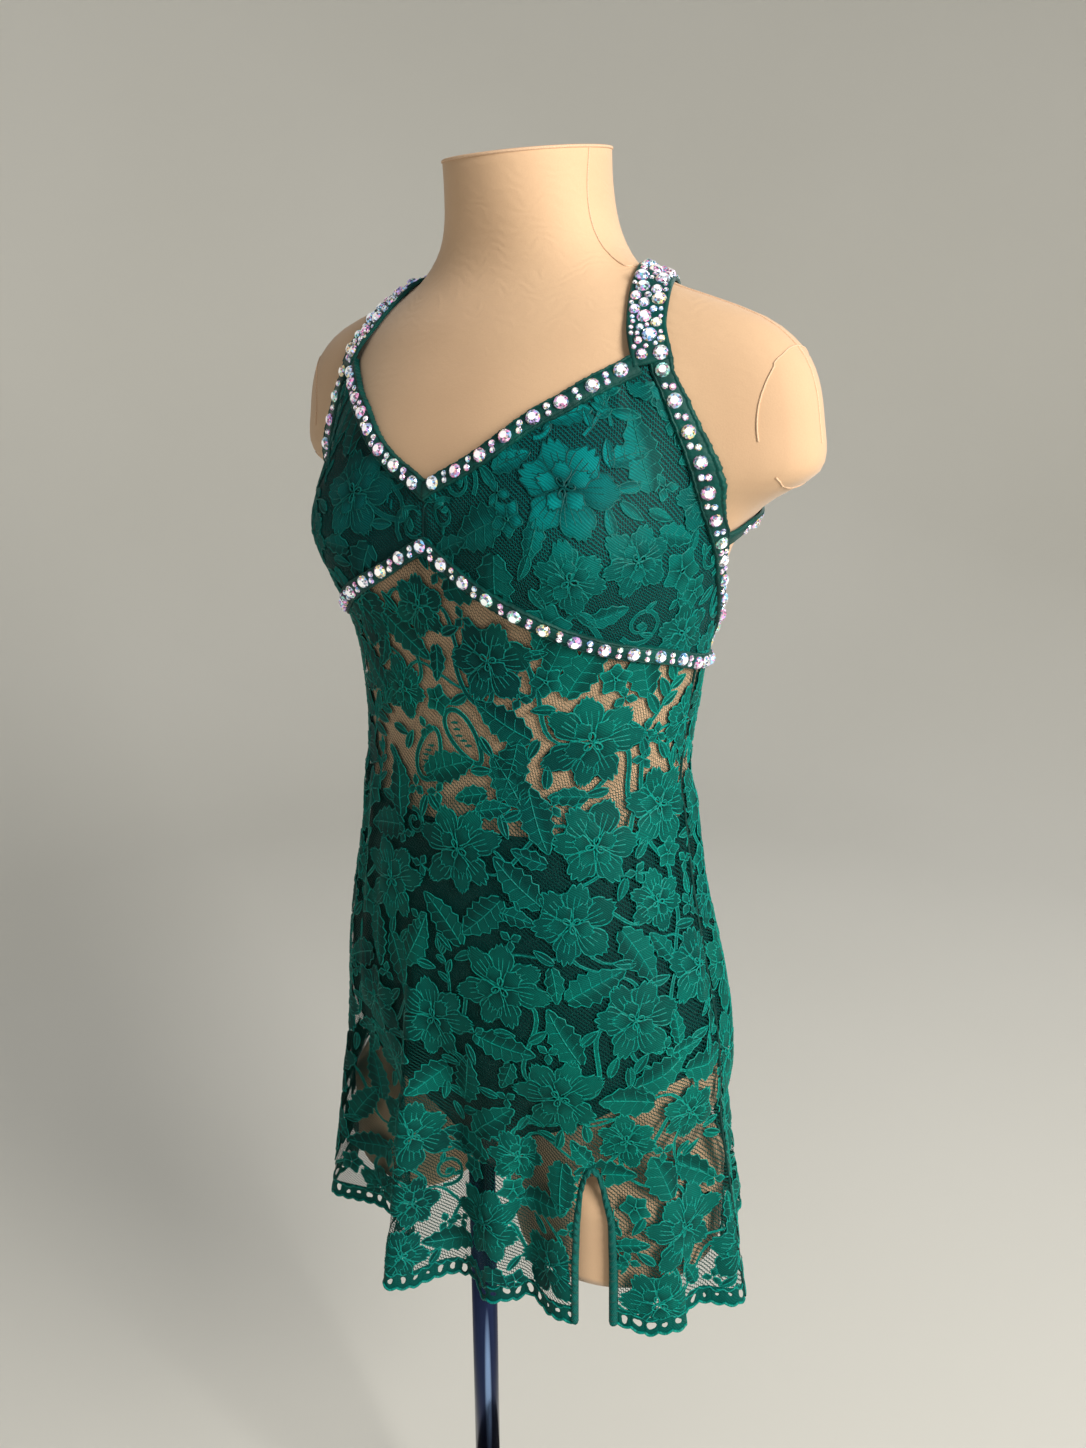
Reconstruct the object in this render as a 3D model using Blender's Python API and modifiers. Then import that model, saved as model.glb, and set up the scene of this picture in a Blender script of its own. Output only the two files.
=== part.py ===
"""Lace slip dress on a stuffed dress form with a pole and a round base.

Metres, +Z up. The dress faces -Y and the wearer's left is +X. The origin is on the floor under the
middle of the base. Angles round the body are in degrees from the front, positive to the wearer's left.
"""
import math

import bmesh
import bpy
from mathutils import Vector
from mathutils.bvhtree import BVHTree

# Driving sizes of the stand and the stuffed form
BASE_RADIUS = 0.205
BASE_THICK = 0.008
POLE_RADIUS = 0.011
POLE_X = -0.050
POLE_SOCKET_DEPTH = 0.050
RUNNING_GAP = 0.0003
FORM_BOTTOM = 0.585
FORM_TOP = 1.305
NECK_SLANT = 0.014
NECK_SLANT_FROM = 1.235
THIGH_OUT = 0.081
THIGH_RADIUS = 0.077
THIGH_TOP = 0.70
CROTCH_SPREAD = 0.028
CROTCH_HEIGHT = 0.617

# Driving sizes of the dress
LACE_THICK = 0.0012
LINED_THICK = 0.0015
BRIEF_THICK = 0.0010
TRIM_THICK = 0.0013
LACE_LIFT = 0.0009
BRIEF_LIFT = 0.0007
TRIM_LIFT = 0.0028
LAYER_GAP = 0.0005
REACH = 0.008
BRIEF_ROOM = 0.0015
BINDING_WIDTH = 0.0105
HEM_HEIGHT = 0.555
SCALLOP_DEPTH = 0.0035
WAIST_HEIGHT = 0.930
BRIEF_TOP = 0.908
SIDE_SEAM = 92.0
SEAM_HALF_TURN = 0.10
SEAM_HALF_GAP = 0.0006
SLIT_ANGLE = 55.4
SLIT_WIDTH = 0.024
SLIT_TOP = 0.679
STONE_RADIUS = 0.0042
STONE_HEIGHT = 0.0026
STONE_PITCH = 0.0185
STONE_SIDES = 5
EYELET_RADIUS = 0.0024
EYELET_ABOVE_HEM = 0.012
EYELETS_PER_HALF = 30

# Sections of the torso: half width at the side, then depth from the side line to the front and to the back
TORSO_COLUMNS = "height half_width front back"
TORSO_ROWS = [
    (0.585, 0.060, 0.043, 0.048),
    (0.600, 0.062, 0.044, 0.050),
    (0.630, 0.092, 0.054, 0.068),
    (0.660, 0.128, 0.068, 0.090),
    (0.700, 0.151, 0.085, 0.107),
    (0.745, 0.151, 0.097, 0.112),
    (0.790, 0.143, 0.098, 0.104),
    (0.830, 0.133, 0.095, 0.093),
    (0.870, 0.123, 0.092, 0.083),
    (0.910, 0.117, 0.090, 0.077),
    (0.940, 0.116, 0.088, 0.076),
    (0.980, 0.119, 0.089, 0.079),
    (1.020, 0.125, 0.091, 0.084),
    (1.060, 0.133, 0.098, 0.091),
    (1.100, 0.139, 0.098, 0.095),
    (1.140, 0.137, 0.091, 0.097),
    (1.170, 0.131, 0.079, 0.095),
    (1.190, 0.124, 0.068, 0.091),
    (1.205, 0.113, 0.060, 0.086),
    (1.220, 0.096, 0.050, 0.078),
    (1.235, 0.076, 0.042, 0.070),
    (1.250, 0.061, 0.040, 0.064),
    (1.265, 0.053, 0.042, 0.059),
    (1.285, 0.049, 0.046, 0.055),
    (1.305, 0.048, 0.049, 0.053),
]
# The two shoulder caps as one wide flat section: reach to the side, and depth to the front and the back
SHOULDER_COLUMNS = "height reach front back"
SHOULDER_ROWS = [
    (1.055, 0.060, 0.012, 0.024),
    (1.080, 0.110, 0.024, 0.044),
    (1.095, 0.136, 0.031, 0.056),
    (1.108, 0.154, 0.035, 0.060),
    (1.119, 0.175, 0.038, 0.060),
    (1.127, 0.189, 0.039, 0.060),
    (1.137, 0.194, 0.040, 0.060),
    (1.155, 0.192, 0.040, 0.060),
    (1.175, 0.188, 0.039, 0.058),
    (1.190, 0.181, 0.037, 0.056),
    (1.202, 0.169, 0.034, 0.053),
    (1.211, 0.154, 0.030, 0.049),
    (1.219, 0.132, 0.026, 0.044),
    (1.227, 0.106, 0.021, 0.038),
    (1.240, 0.073, 0.013, 0.026),
    (1.260, 0.030, 0.006, 0.012),
]
BUST_HEIGHT = 1.088
BUST_ANGLE = 45.0
BUST_SPREAD_ANGLE = 24.0
BUST_SPREAD_HEIGHT = 0.044
BUST_DEPTH = 0.017
SECTION_POWER = 2.15
SHOULDER_FRONT_POWER = 2.2
SHOULDER_BACK_POWER = 2.9
BLEND_POWER = 10.0


def named_rows(columns, rows):
    """Rows of numbers as a list of dictionaries with the columns' names."""
    return [dict(zip(columns.split(), row)) for row in rows]


TORSO = named_rows(TORSO_COLUMNS, TORSO_ROWS)
SHOULDERS = named_rows(SHOULDER_COLUMNS, SHOULDER_ROWS)


def smooth_value(table, key, at, column):
    """Value of a column where key equals at, on a cubic curve through the table's rows."""
    rows = table
    if at <= rows[0][key]:
        return rows[0][column]
    if at >= rows[-1][key]:
        return rows[-1][column]
    i = max(k for k in range(len(rows) - 1) if rows[k][key] <= at)

    def slope(k):
        before, after = rows[max(k - 1, 0)], rows[min(k + 1, len(rows) - 1)]
        return (after[column] - before[column]) / (after[key] - before[key])

    low, high = rows[i], rows[i + 1]
    span = high[key] - low[key]
    t = (at - low[key]) / span
    t2, t3 = t * t, t * t * t
    return (
        (2 * t3 - 3 * t2 + 1) * low[column]
        + (t3 - 2 * t2 + t) * span * slope(i)
        + (-2 * t3 + 3 * t2) * high[column]
        + (t3 - t2) * span * slope(i + 1)
    )


def ease(x, low, high):
    """0 below low, 1 above high, and a smooth step between them."""
    t = min(1.0, max(0.0, (x - low) / (high - low)))
    return t * t * (3 - 2 * t)


def oval_radius(angle, half_width, front, back, power):
    """Distance to an oval's edge in a direction from its middle."""
    s, c = abs(math.sin(angle)), math.cos(angle)
    depth = front if c > 0 else back
    return ((s / half_width) ** power + (abs(c) / depth) ** power) ** (-1 / power)


def thigh_radius(angle):
    """Distance to the round thigh end in a direction from the middle, or 0 where it misses."""
    out, reach = THIGH_OUT, THIGH_RADIUS
    s, c = abs(math.sin(angle)), abs(math.cos(angle))
    inside = reach * reach - (out * c) ** 2
    return out * s + math.sqrt(inside) if inside > 0 else 0.0


def body_radius(degrees, z):
    """Distance from the upright axis to the form's surface."""
    angle = math.radians(degrees)
    row = {c: smooth_value(TORSO, "height", z, c) for c in ("half_width", "front", "back")}
    parts = [oval_radius(angle, row["half_width"], row["front"], row["back"], SECTION_POWER)]
    if SHOULDERS[0]["height"] <= z <= SHOULDERS[-1]["height"]:
        cap = {c: smooth_value(SHOULDERS, "height", z, c) for c in ("reach", "front", "back")}
        power = SHOULDER_FRONT_POWER if math.cos(angle) > 0 else SHOULDER_BACK_POWER
        parts.append(oval_radius(angle, cap["reach"], cap["front"], cap["back"], power))
    if z < THIGH_TOP:
        parts.append(thigh_radius(angle) * (1 - 0.35 * ease(z, THIGH_TOP - 0.06, THIGH_TOP)))
    radius = sum(p**BLEND_POWER for p in parts) ** (1 / BLEND_POWER)
    turn = (degrees + 180.0) % 360.0 - 180.0
    for side in (-1, 1):
        across = (turn - side * BUST_ANGLE) / BUST_SPREAD_ANGLE
        up = (z - BUST_HEIGHT) / BUST_SPREAD_HEIGHT
        radius += BUST_DEPTH * math.exp(-across * across - up * up)
    return radius


# Height of the under-bust line: a peak at the front, low at the sides and nearly level behind
BAND_COLUMNS = "angle height"
BAND_ROWS = [
    (0, 1.0855),
    (7, 1.0795),
    (15, 1.0710),
    (24, 1.0622),
    (36, 1.0510),
    (48, 1.0400),
    (60, 1.0315),
    (76, 1.0240),
    (92, 1.0140),
    (112, 1.0080),
    (140, 1.0030),
    (180, 1.0000),
]
BAND = named_rows(BAND_COLUMNS, BAND_ROWS)
# The hem's folds: the distance from the upright axis at each crest and valley
HEM_COLUMNS = "angle radius"
HEM_ROWS = [
    (-180, 0.152),
    (-166, 0.137),
    (-152, 0.160),
    (-137, 0.140),
    (-121, 0.168),
    (-105, 0.148),
    (-88, 0.172),
    (-72, 0.146),
    (-55, 0.158),
    (-46, 0.116),
    (-32, 0.096),
    (-20, 0.112),
    (-11, 0.141),
    (-4, 0.116),
    (5, 0.094),
    (13, 0.097),
    (22, 0.112),
    (31, 0.104),
    (38, 0.103),
    (47, 0.127),
    (60, 0.138),
    (68, 0.158),
    (75, 0.169),
    (80, 0.156),
    (84, 0.162),
    (89, 0.184),
    (97, 0.176),
    (108, 0.146),
    (122, 0.166),
    (136, 0.140),
    (150, 0.161),
    (165, 0.136),
    (180, 0.152),
]
HEM = named_rows(HEM_COLUMNS, HEM_ROWS)
PLAIN_HEM_SIDE = 0.158
PLAIN_HEM_FRONT = 0.104
PLAIN_HEM_BACK = 0.146
FOLD_START = 0.880


def band_height(degrees):
    """Height of the line where the bodice meets the skirt."""
    turn = abs((degrees + 180.0) % 360.0 - 180.0)
    return smooth_value(BAND, "angle", turn, "height")


def skirt_radius(degrees, z):
    """Distance from the upright axis to the inside of the lace skirt."""
    over_brief = BRIEF_ROOM * ease(-z, -(BRIEF_TOP + 0.030), -(BRIEF_TOP + 0.004))
    snug = body_radius(degrees, z) + LACE_LIFT + over_brief
    if z >= WAIST_HEIGHT:
        return snug
    drop = (WAIST_HEIGHT - z) / (WAIST_HEIGHT - HEM_HEIGHT)
    angle = math.radians(degrees)
    waist = body_radius(degrees, WAIST_HEIGHT) + LACE_LIFT
    plain_hem = oval_radius(angle, PLAIN_HEM_SIDE, PLAIN_HEM_FRONT, PLAIN_HEM_BACK, 2.2)
    turn = (degrees + 180.0) % 360.0 - 180.0
    fold = smooth_value(HEM, "angle", turn, "radius") - plain_hem
    depth = max(0.0, (FOLD_START - z) / (FOLD_START - HEM_HEIGHT)) ** 1.2
    hang = waist + (plain_hem - waist) * drop**0.85 + fold * depth
    sharp = 400.0
    return snug + math.log1p(math.exp(min(60.0, (hang - snug) * sharp))) / sharp


def point(degrees, radius, z):
    angle = math.radians(degrees)
    return Vector((radius * math.sin(angle), -radius * math.cos(angle), z))


def lifted(radius_at, degrees, z, lift):
    """Point of a surface given by its radius, moved out along the surface's normal."""
    step_turn, step_up = 0.8, 0.002
    here = point(degrees, radius_at(degrees, z), z)
    if lift == 0:
        return here
    across = point(degrees + step_turn, radius_at(degrees + step_turn, z), z) - point(
        degrees - step_turn, radius_at(degrees - step_turn, z), z
    )
    up = point(degrees, radius_at(degrees, z + step_up), z + step_up) - point(
        degrees, radius_at(degrees, z - step_up), z - step_up
    )
    return here + across.cross(up).normalized() * lift


# Top edge of the cup along the neck, from the point of the V to the strap
NECK_COLUMNS = "angle height"
NECK_ROWS = [
    (0.08, 1.1215),
    (7, 1.1275),
    (14.5, 1.1335),
    (22.5, 1.1415),
    (30.7, 1.1513),
    (39, 1.1610),
    (46.5, 1.1680),
    (54.5, 1.1765),
    (62, 1.1835),
    (67, 1.1885),
]
# Outer edge of the cup along the armhole, from the strap down, and on along the top of the back wing
ARM_COLUMNS = "angle height"
ARM_ROWS = [
    (75.6, 1.1955),
    (74.6, 1.1820),
    (75.7, 1.1690),
    (76.9, 1.1550),
    (78.5, 1.1390),
    (79.9, 1.1265),
    (81.8, 1.1145),
    (84.2, 1.1040),
    (87.0, 1.0945),
    (89.6, 1.0870),
    (92.0, 1.0795),
    (95.2, 1.0680),
    (100.3, 1.0520),
    (105.7, 1.0397),
    (111.0, 1.0295),
    (115.0, 1.0190),
    (118.0, 1.0090),
]
ARM_BINDING_END = 112.5
ARM_BINDING_TOP = 1.1885
NECK_BINDING_END = 65.0
# Top line of the strap's middle over the shoulder and across the back to the other underarm
STRAP_COLUMNS = "x y z half_width"
STRAP_ROWS = [
    (0.1075, -0.0395, 1.1945, 0.0105),
    (0.1050, -0.0320, 1.2030, 0.0110),
    (0.0985, -0.0180, 1.2180, 0.0115),
    (0.0900, 0.0020, 1.2340, 0.0115),
    (0.0820, 0.0250, 1.2330, 0.0105),
    (0.0700, 0.0500, 1.2200, 0.0085),
    (0.0510, 0.0750, 1.1950, 0.0065),
    (0.0260, 0.0920, 1.1680, 0.0058),
    (0.0000, 0.0980, 1.1480, 0.0058),
    (-0.0350, 0.0960, 1.1290, 0.0058),
    (-0.0750, 0.0880, 1.1150, 0.0058),
    (-0.1100, 0.0740, 1.1070, 0.0058),
    (-0.1400, 0.0480, 1.1020, 0.0058),
    (-0.1530, 0.0180, 1.0960, 0.0058),
    (-0.1500, 0.0060, 1.0915, 0.0056),
]
# Lower edge of the briefs round the leg, from the front of the crotch out to the side and back
LEG_COLUMNS = "angle height"
LEG_ROWS = [
    (0, 0.6185),
    (7, 0.6215),
    (13, 0.6480),
    (22, 0.6700),
    (36, 0.6860),
    (51, 0.7080),
    (62, 0.7290),
    (76, 0.7430),
    (92, 0.7460),
    (106, 0.7360),
    (122, 0.7160),
    (138, 0.6930),
    (152, 0.6700),
    (165, 0.6430),
    (174, 0.6225),
    (180, 0.6185),
]
NECK = named_rows(NECK_COLUMNS, NECK_ROWS)
ARM = named_rows(ARM_COLUMNS, ARM_ROWS)
STRAP = named_rows(STRAP_COLUMNS, STRAP_ROWS)
LEG = named_rows(LEG_COLUMNS, LEG_ROWS)
MEAN_RADIUS = 0.135
GUSSET_HALF_WIDTH = 0.0055


def arch_height(x):
    """Height of the form's underside across the two thigh ends."""
    return FORM_BOTTOM + (CROTCH_HEIGHT - FORM_BOTTOM) * math.exp(-((x / CROTCH_SPREAD) ** 2))


def flat(degrees, z):
    """Place on the unrolled body, in metres."""
    return (math.radians(degrees) * MEAN_RADIUS, z)


def unflat(s, z):
    return (math.degrees(s / MEAN_RADIUS), z)


def resample(line, count):
    """Evenly spaced (angle, height) points along a line, count + 1 of them."""
    places = [flat(*p) for p in line]
    runs = [0.0]
    for a, b in zip(places, places[1:]):
        runs.append(runs[-1] + math.hypot(b[0] - a[0], b[1] - a[1]))
    out = []
    for k in range(count + 1):
        want = runs[-1] * k / count
        i = max(j for j in range(len(runs) - 1) if runs[j] <= want + 1e-12)
        t = (want - runs[i]) / (runs[i + 1] - runs[i])
        a, b = places[i], places[i + 1]
        out.append(unflat(a[0] + (b[0] - a[0]) * t, a[1] + (b[1] - a[1]) * t))
    return out


def smooth_line(rows, count):
    """Evenly spaced points on a cubic curve through the table's points."""
    fine = []
    for i in range(len(rows) - 1):
        p = [rows[max(i - 1, 0)], rows[i], rows[i + 1], rows[min(i + 2, len(rows) - 1)]]
        for k in range(12):
            t = k / 12
            fine.append(tuple(spline(p, c, t) for c in ("angle", "height")))
    fine.append((rows[-1]["angle"], rows[-1]["height"]))
    return resample(fine, count)


def spline(p, column, t):
    a, b, c, d = (row[column] for row in p)
    return 0.5 * (
        2 * b + (c - a) * t + (2 * a - 5 * b + 4 * c - d) * t * t + (3 * b - a - 3 * c + d) * t**3
    )


def beside(line, distance):
    """The line moved to its right by a distance on the unrolled body."""
    places = [flat(*p) for p in line]
    out = []
    for i, here in enumerate(places):
        a, b = places[max(i - 1, 0)], places[min(i + 1, len(places) - 1)]
        run = math.hypot(b[0] - a[0], b[1] - a[1])
        out.append(unflat(here[0] + (b[1] - a[1]) / run * distance, here[1] - (b[0] - a[0]) / run * distance))
    return out


def patch(bottom, top, left, right):
    """Grid of (angle, height) points filling four edge lines."""
    columns, rows = len(bottom) - 1, len(left) - 1
    grid = []
    for j in range(rows + 1):
        v = j / rows
        line = []
        for i in range(columns + 1):
            u = i / columns
            line.append(tuple(
                (1 - v) * bottom[i][c] + v * top[i][c] + (1 - u) * left[j][c] + u * right[j][c]
                - (1 - u) * (1 - v) * bottom[0][c] - u * (1 - v) * bottom[-1][c]
                - (1 - u) * v * top[0][c] - u * v * top[-1][c]
                for c in (0, 1)
            ))
        grid.append(line)
    return grid


def mirrored(grid):
    return [[(-a, z) for a, z in reversed(line)] for line in grid]


def cup_grid(columns, rows):
    """The wearer's left cup, from the middle seam to the side seam."""
    low, high = SEAM_HALF_TURN, SIDE_SEAM - SEAM_HALF_TURN
    bottom = [(a, band_height(a) + SEAM_HALF_GAP) for a in (low + (high - low) * k / 60 for k in range(61))]
    arm = [p for p in smooth_line(ARM, 80) if p[0] <= high]
    neck = smooth_line(NECK, 60)
    top = neck + [arm[0]]
    left = [(low, bottom[0][1]), (low, neck[0][1])]
    right = [bottom[-1], (high, arm[-1][1])] + arm[::-1]
    return patch(resample(bottom, columns), resample(top, columns), resample(left, rows), resample(right, rows))


def wing_grid(columns, rows):
    """The wearer's left back wing, from the side seam to its tip under the band."""
    low = SIDE_SEAM + SEAM_HALF_TURN
    top = [p for p in smooth_line(ARM, 80) if p[0] >= low]
    top.insert(0, (low, top[0][1] + 0.0004))
    high = top[-1][0]
    bottom = [(a, band_height(a) + SEAM_HALF_GAP) for a in (low + (high - low) * k / 20 for k in range(21))]
    left = [bottom[0], top[0]]
    right = [bottom[-1], top[-1]]
    return patch(resample(bottom, columns), resample(top, columns), resample(left, rows), resample(right, rows))


def skirt_bottom(degrees, first, last, scallops):
    """Height of the scalloped hem."""
    share = (degrees - first) / (last - first)
    return HEM_HEIGHT + SCALLOP_DEPTH * abs(math.sin(math.pi * scallops * share))


def hem_angles(first, last, count):
    """Angles that split the folded hem into equal lengths."""
    fine = [first + (last - first) * k / 720 for k in range(721)]
    runs = [0.0]
    for a, b in zip(fine, fine[1:]):
        step = point(b, skirt_radius(b, HEM_HEIGHT), 0) - point(a, skirt_radius(a, HEM_HEIGHT), 0)
        runs.append(runs[-1] + math.sqrt(sum(c * c for c in step)))
    out = []
    for k in range(count + 1):
        want = runs[-1] * k / count
        i = max(j for j in range(len(runs) - 1) if runs[j] <= want + 1e-12)
        out.append(fine[i] + (fine[i + 1] - fine[i]) * (want - runs[i]) / (runs[i + 1] - runs[i]))
    return out


SKIRT_STEPS = [0.0, 0.06, 0.16, 0.28, 0.40, 0.52, 0.64, 0.76, 0.88, 1.0]
SCALLOPS_PER_HALF = 15
BACK_TOP_RISE = 0.0045


def skirt_top_rise(degrees):
    """How far the skirt's top stands above the under-bust line across the open back."""
    return BACK_TOP_RISE * ease(180.0 - abs((degrees % 360.0) - 180.0), 119.0, 126.0)


def skirt_grid(first, last, columns):
    """Half the skirt, from its hem to the under-bust line."""
    folded = hem_angles(first, last, columns)
    grid = []
    for t in SKIRT_STEPS:
        line = []
        for k, low_angle in enumerate(folded):
            even = first + (last - first) * k / columns
            angle = low_angle + (even - low_angle) * ease(t, 0.25, 0.85)
            low = skirt_bottom(low_angle, first, last, SCALLOPS_PER_HALF)
            high = band_height(even) - SEAM_HALF_GAP + skirt_top_rise(even)
            line.append((angle, low + (high - low) * t))
        grid.append(line)
    return grid


# Colours are the base colour, then roughness, then metal
FINISHES = {
    "form_cloth": ((0.62, 0.43, 0.30), 0.75, 0.0),
    "steel": ((0.30, 0.32, 0.38), 0.22, 1.0),
    "base_enamel": ((0.045, 0.047, 0.052), 0.40, 0.3),
    "lace": ((0.006, 0.16, 0.105), 0.55, 0.0),
    "lined_lace": ((0.005, 0.12, 0.085), 0.55, 0.0),
    "binding_cloth": ((0.004, 0.085, 0.055), 0.50, 0.0),
    "brief_cloth": ((0.004, 0.11, 0.09), 0.60, 0.0),
}


def material(name, finish):
    colour, roughness, metal = FINISHES[finish]
    made = bpy.data.materials.new(name)
    made.use_nodes = True
    shader = made.node_tree.nodes["Principled BSDF"]
    shader.inputs["Base Color"].default_value = (*colour, 1.0)
    shader.inputs["Roughness"].default_value = roughness
    shader.inputs["Metallic"].default_value = metal
    made.diffuse_color = (*colour, 1.0)
    return made


def add_object(name, mesh, collection, finish=None):
    made = bpy.data.objects.new(name, mesh)
    collection.objects.link(made)
    if finish:
        mesh.materials.append(material(name + "_" + finish, finish))
    return made


def mesh_from(name, points, faces):
    mesh = bpy.data.meshes.new(name)
    mesh.from_pydata([tuple(p) for p in points], [], faces)
    mesh.update()
    return mesh


def halves_of(faces):
    """Every four-sided face split along the same diagonal."""
    out = []
    for face in faces:
        if len(face) == 4:
            out += [(face[0], face[1], face[2]), (face[0], face[2], face[3])]
        else:
            out.append(face)
    return out


def grid_faces(columns, rows):
    return halves_of([
        (j * columns + i, j * columns + i + 1, (j + 1) * columns + i + 1, (j + 1) * columns + i)
        for j in range(rows - 1)
        for i in range(columns - 1)
    ])


def clearance_under(place, normal, below):
    """Room between a place on a sheet and whatever lies under it, or None where nothing is near."""
    found = below.ray_cast(place + normal * REACH, -normal, REACH * 1.5)
    return None if found[0] is None else (place - found[0]).dot(normal)


def settle(rows_of_points, normals, below, gap):
    """Moves a sheet's grid outwards until the whole of every cell clears what lies under it."""
    rows, columns = len(rows_of_points), len(rows_of_points[0])
    points = [[p.copy() for p in line] for line in rows_of_points]
    steps = [k / 6 for k in range(7)]
    for _ in range(10):
        shift = [[0.0] * columns for _ in range(rows)]
        for j in range(rows - 1):
            for i in range(columns - 1):
                short = 0.0
                corners = ((j, i), (j, i + 1), (j + 1, i), (j + 1, i + 1))
                for v in steps:
                    for u in steps:
                        shares = (1 - max(u, v), max(u - v, 0.0), max(v - u, 0.0), min(u, v))
                        place = sum((points[a][b] * s for (a, b), s in zip(corners, shares)), Vector())
                        normal = sum((normals[a][b] * s for (a, b), s in zip(corners, shares)), Vector())
                        room = clearance_under(place, normal.normalized(), below)
                        if room is not None:
                            short = max(short, gap - room)
                for a, b in corners:
                    shift[a][b] = max(shift[a][b], short)
        if max(max(line) for line in shift) < 0.00001:
            break
        for j in range(rows):
            for i in range(columns):
                points[j][i] += normals[j][i] * (shift[j][i] * 0.9)
    return points


def solid_faces(objects):
    """All the faces of finished sheets, for other sheets to be laid on."""
    graph = bpy.context.evaluated_depsgraph_get()
    points, faces = [], []
    for made in objects:
        mesh = made.evaluated_get(graph).to_mesh()
        base = len(points)
        points += [tuple(v.co) for v in mesh.vertices]
        faces += [tuple(base + i for i in face.vertices) for face in mesh.polygons]
    return BVHTree.FromPolygons(points, faces)


def cloth(name, rows_of_points, thick, collection, finish):
    """A sheet of cloth: its inner face as a grid, thickened outwards."""
    rows, columns = len(rows_of_points), len(rows_of_points[0])
    mesh = mesh_from(name, [p for line in rows_of_points for p in line], grid_faces(columns, rows))
    made = add_object(name, mesh, collection, finish)
    wall = made.modifiers.new("wall", "SOLIDIFY")
    wall.thickness = thick
    wall.offset = 1.0
    wall.use_even_offset = False
    return made


def fitted(name, grid, lift, thick, collection, finish, below, radius_at=body_radius):
    """A sheet laid on the body at a lift, and eased off whatever is already under it."""
    points = [[lifted(radius_at, a, z, lift) for a, z in line] for line in grid]
    higher = [[lifted(radius_at, a, z, lift + 0.002) for a, z in line] for line in grid]
    normals = [[(h - p).normalized() for p, h in zip(a, b)] for a, b in zip(points, higher)]
    return cloth(name, settle(points, normals, below, LAYER_GAP), thick, collection, finish)


def cut(target, tool, operation):
    change = target.modifiers.new(operation.lower(), "BOOLEAN")
    change.object = tool
    change.operation = operation
    change.solver = "EXACT"


def studs(name, places, collection):
    """Five-sided flat-topped stones, one at each place, with their stems sunk in the cloth."""
    made = bmesh.new()
    for here, normal, along in places:
        side = along.cross(normal).normalized()
        along = normal.cross(side).normalized()
        rings = []
        for height, radius in ((-0.0006, STONE_RADIUS), (STONE_HEIGHT, STONE_RADIUS * 0.66)):
            ring = []
            for k in range(STONE_SIDES):
                turn = math.radians(360 / STONE_SIDES * k)
                offset = side * (radius * math.cos(turn)) + along * (radius * math.sin(turn))
                ring.append(made.verts.new(here + normal * height + offset))
            rings.append(ring)
        for low, high in zip(rings, rings[1:]):
            for k in range(STONE_SIDES):
                n = (k + 1) % STONE_SIDES
                made.faces.new((low[k], low[n], high[n], high[k]))
        made.faces.new(rings[-1])
        made.faces.new(list(reversed(rings[0])))
    bmesh.ops.recalc_face_normals(made, faces=made.faces)
    mesh = bpy.data.meshes.new(name)
    made.to_mesh(mesh)
    made.free()
    stones = add_object(name, mesh, collection)
    stones.hide_render = True
    stones.display_type = "WIRE"
    return stones


def stone_places(line, height, pitch, skip_ends):
    """Places for stones along a line on the body, at a height above it."""
    fine = resample(line, 400)
    where = [lifted(body_radius, a, z, height) for a, z in fine]
    runs = [0.0]
    for a, b in zip(where, where[1:]):
        runs.append(runs[-1] + (b - a).length)
    count = max(1, round((runs[-1] - 2 * skip_ends) / pitch))
    places = []
    for k in range(count + 1):
        want = skip_ends + (runs[-1] - 2 * skip_ends) * k / count
        i = min(range(len(runs)), key=lambda j: abs(runs[j] - want))
        a, z = fine[i]
        normal = (lifted(body_radius, a, z, height + 0.002) - where[i]).normalized()
        along = where[min(i + 2, 400)] - where[max(i - 2, 0)]
        places.append((where[i], normal, along))
    return places


def ribbon_grid(rail_a, rail_b, count, across):
    """Grid between two rails: rail_a is the lower or left one seen from outside."""
    low, high = resample(rail_a, count), resample(rail_b, count)
    return [
        [
            (a[0] + (b[0] - a[0]) * j / across, a[1] + (b[1] - a[1]) * j / across)
            for a, b in zip(low, high)
        ]
        for j in range(across + 1)
    ]


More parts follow.
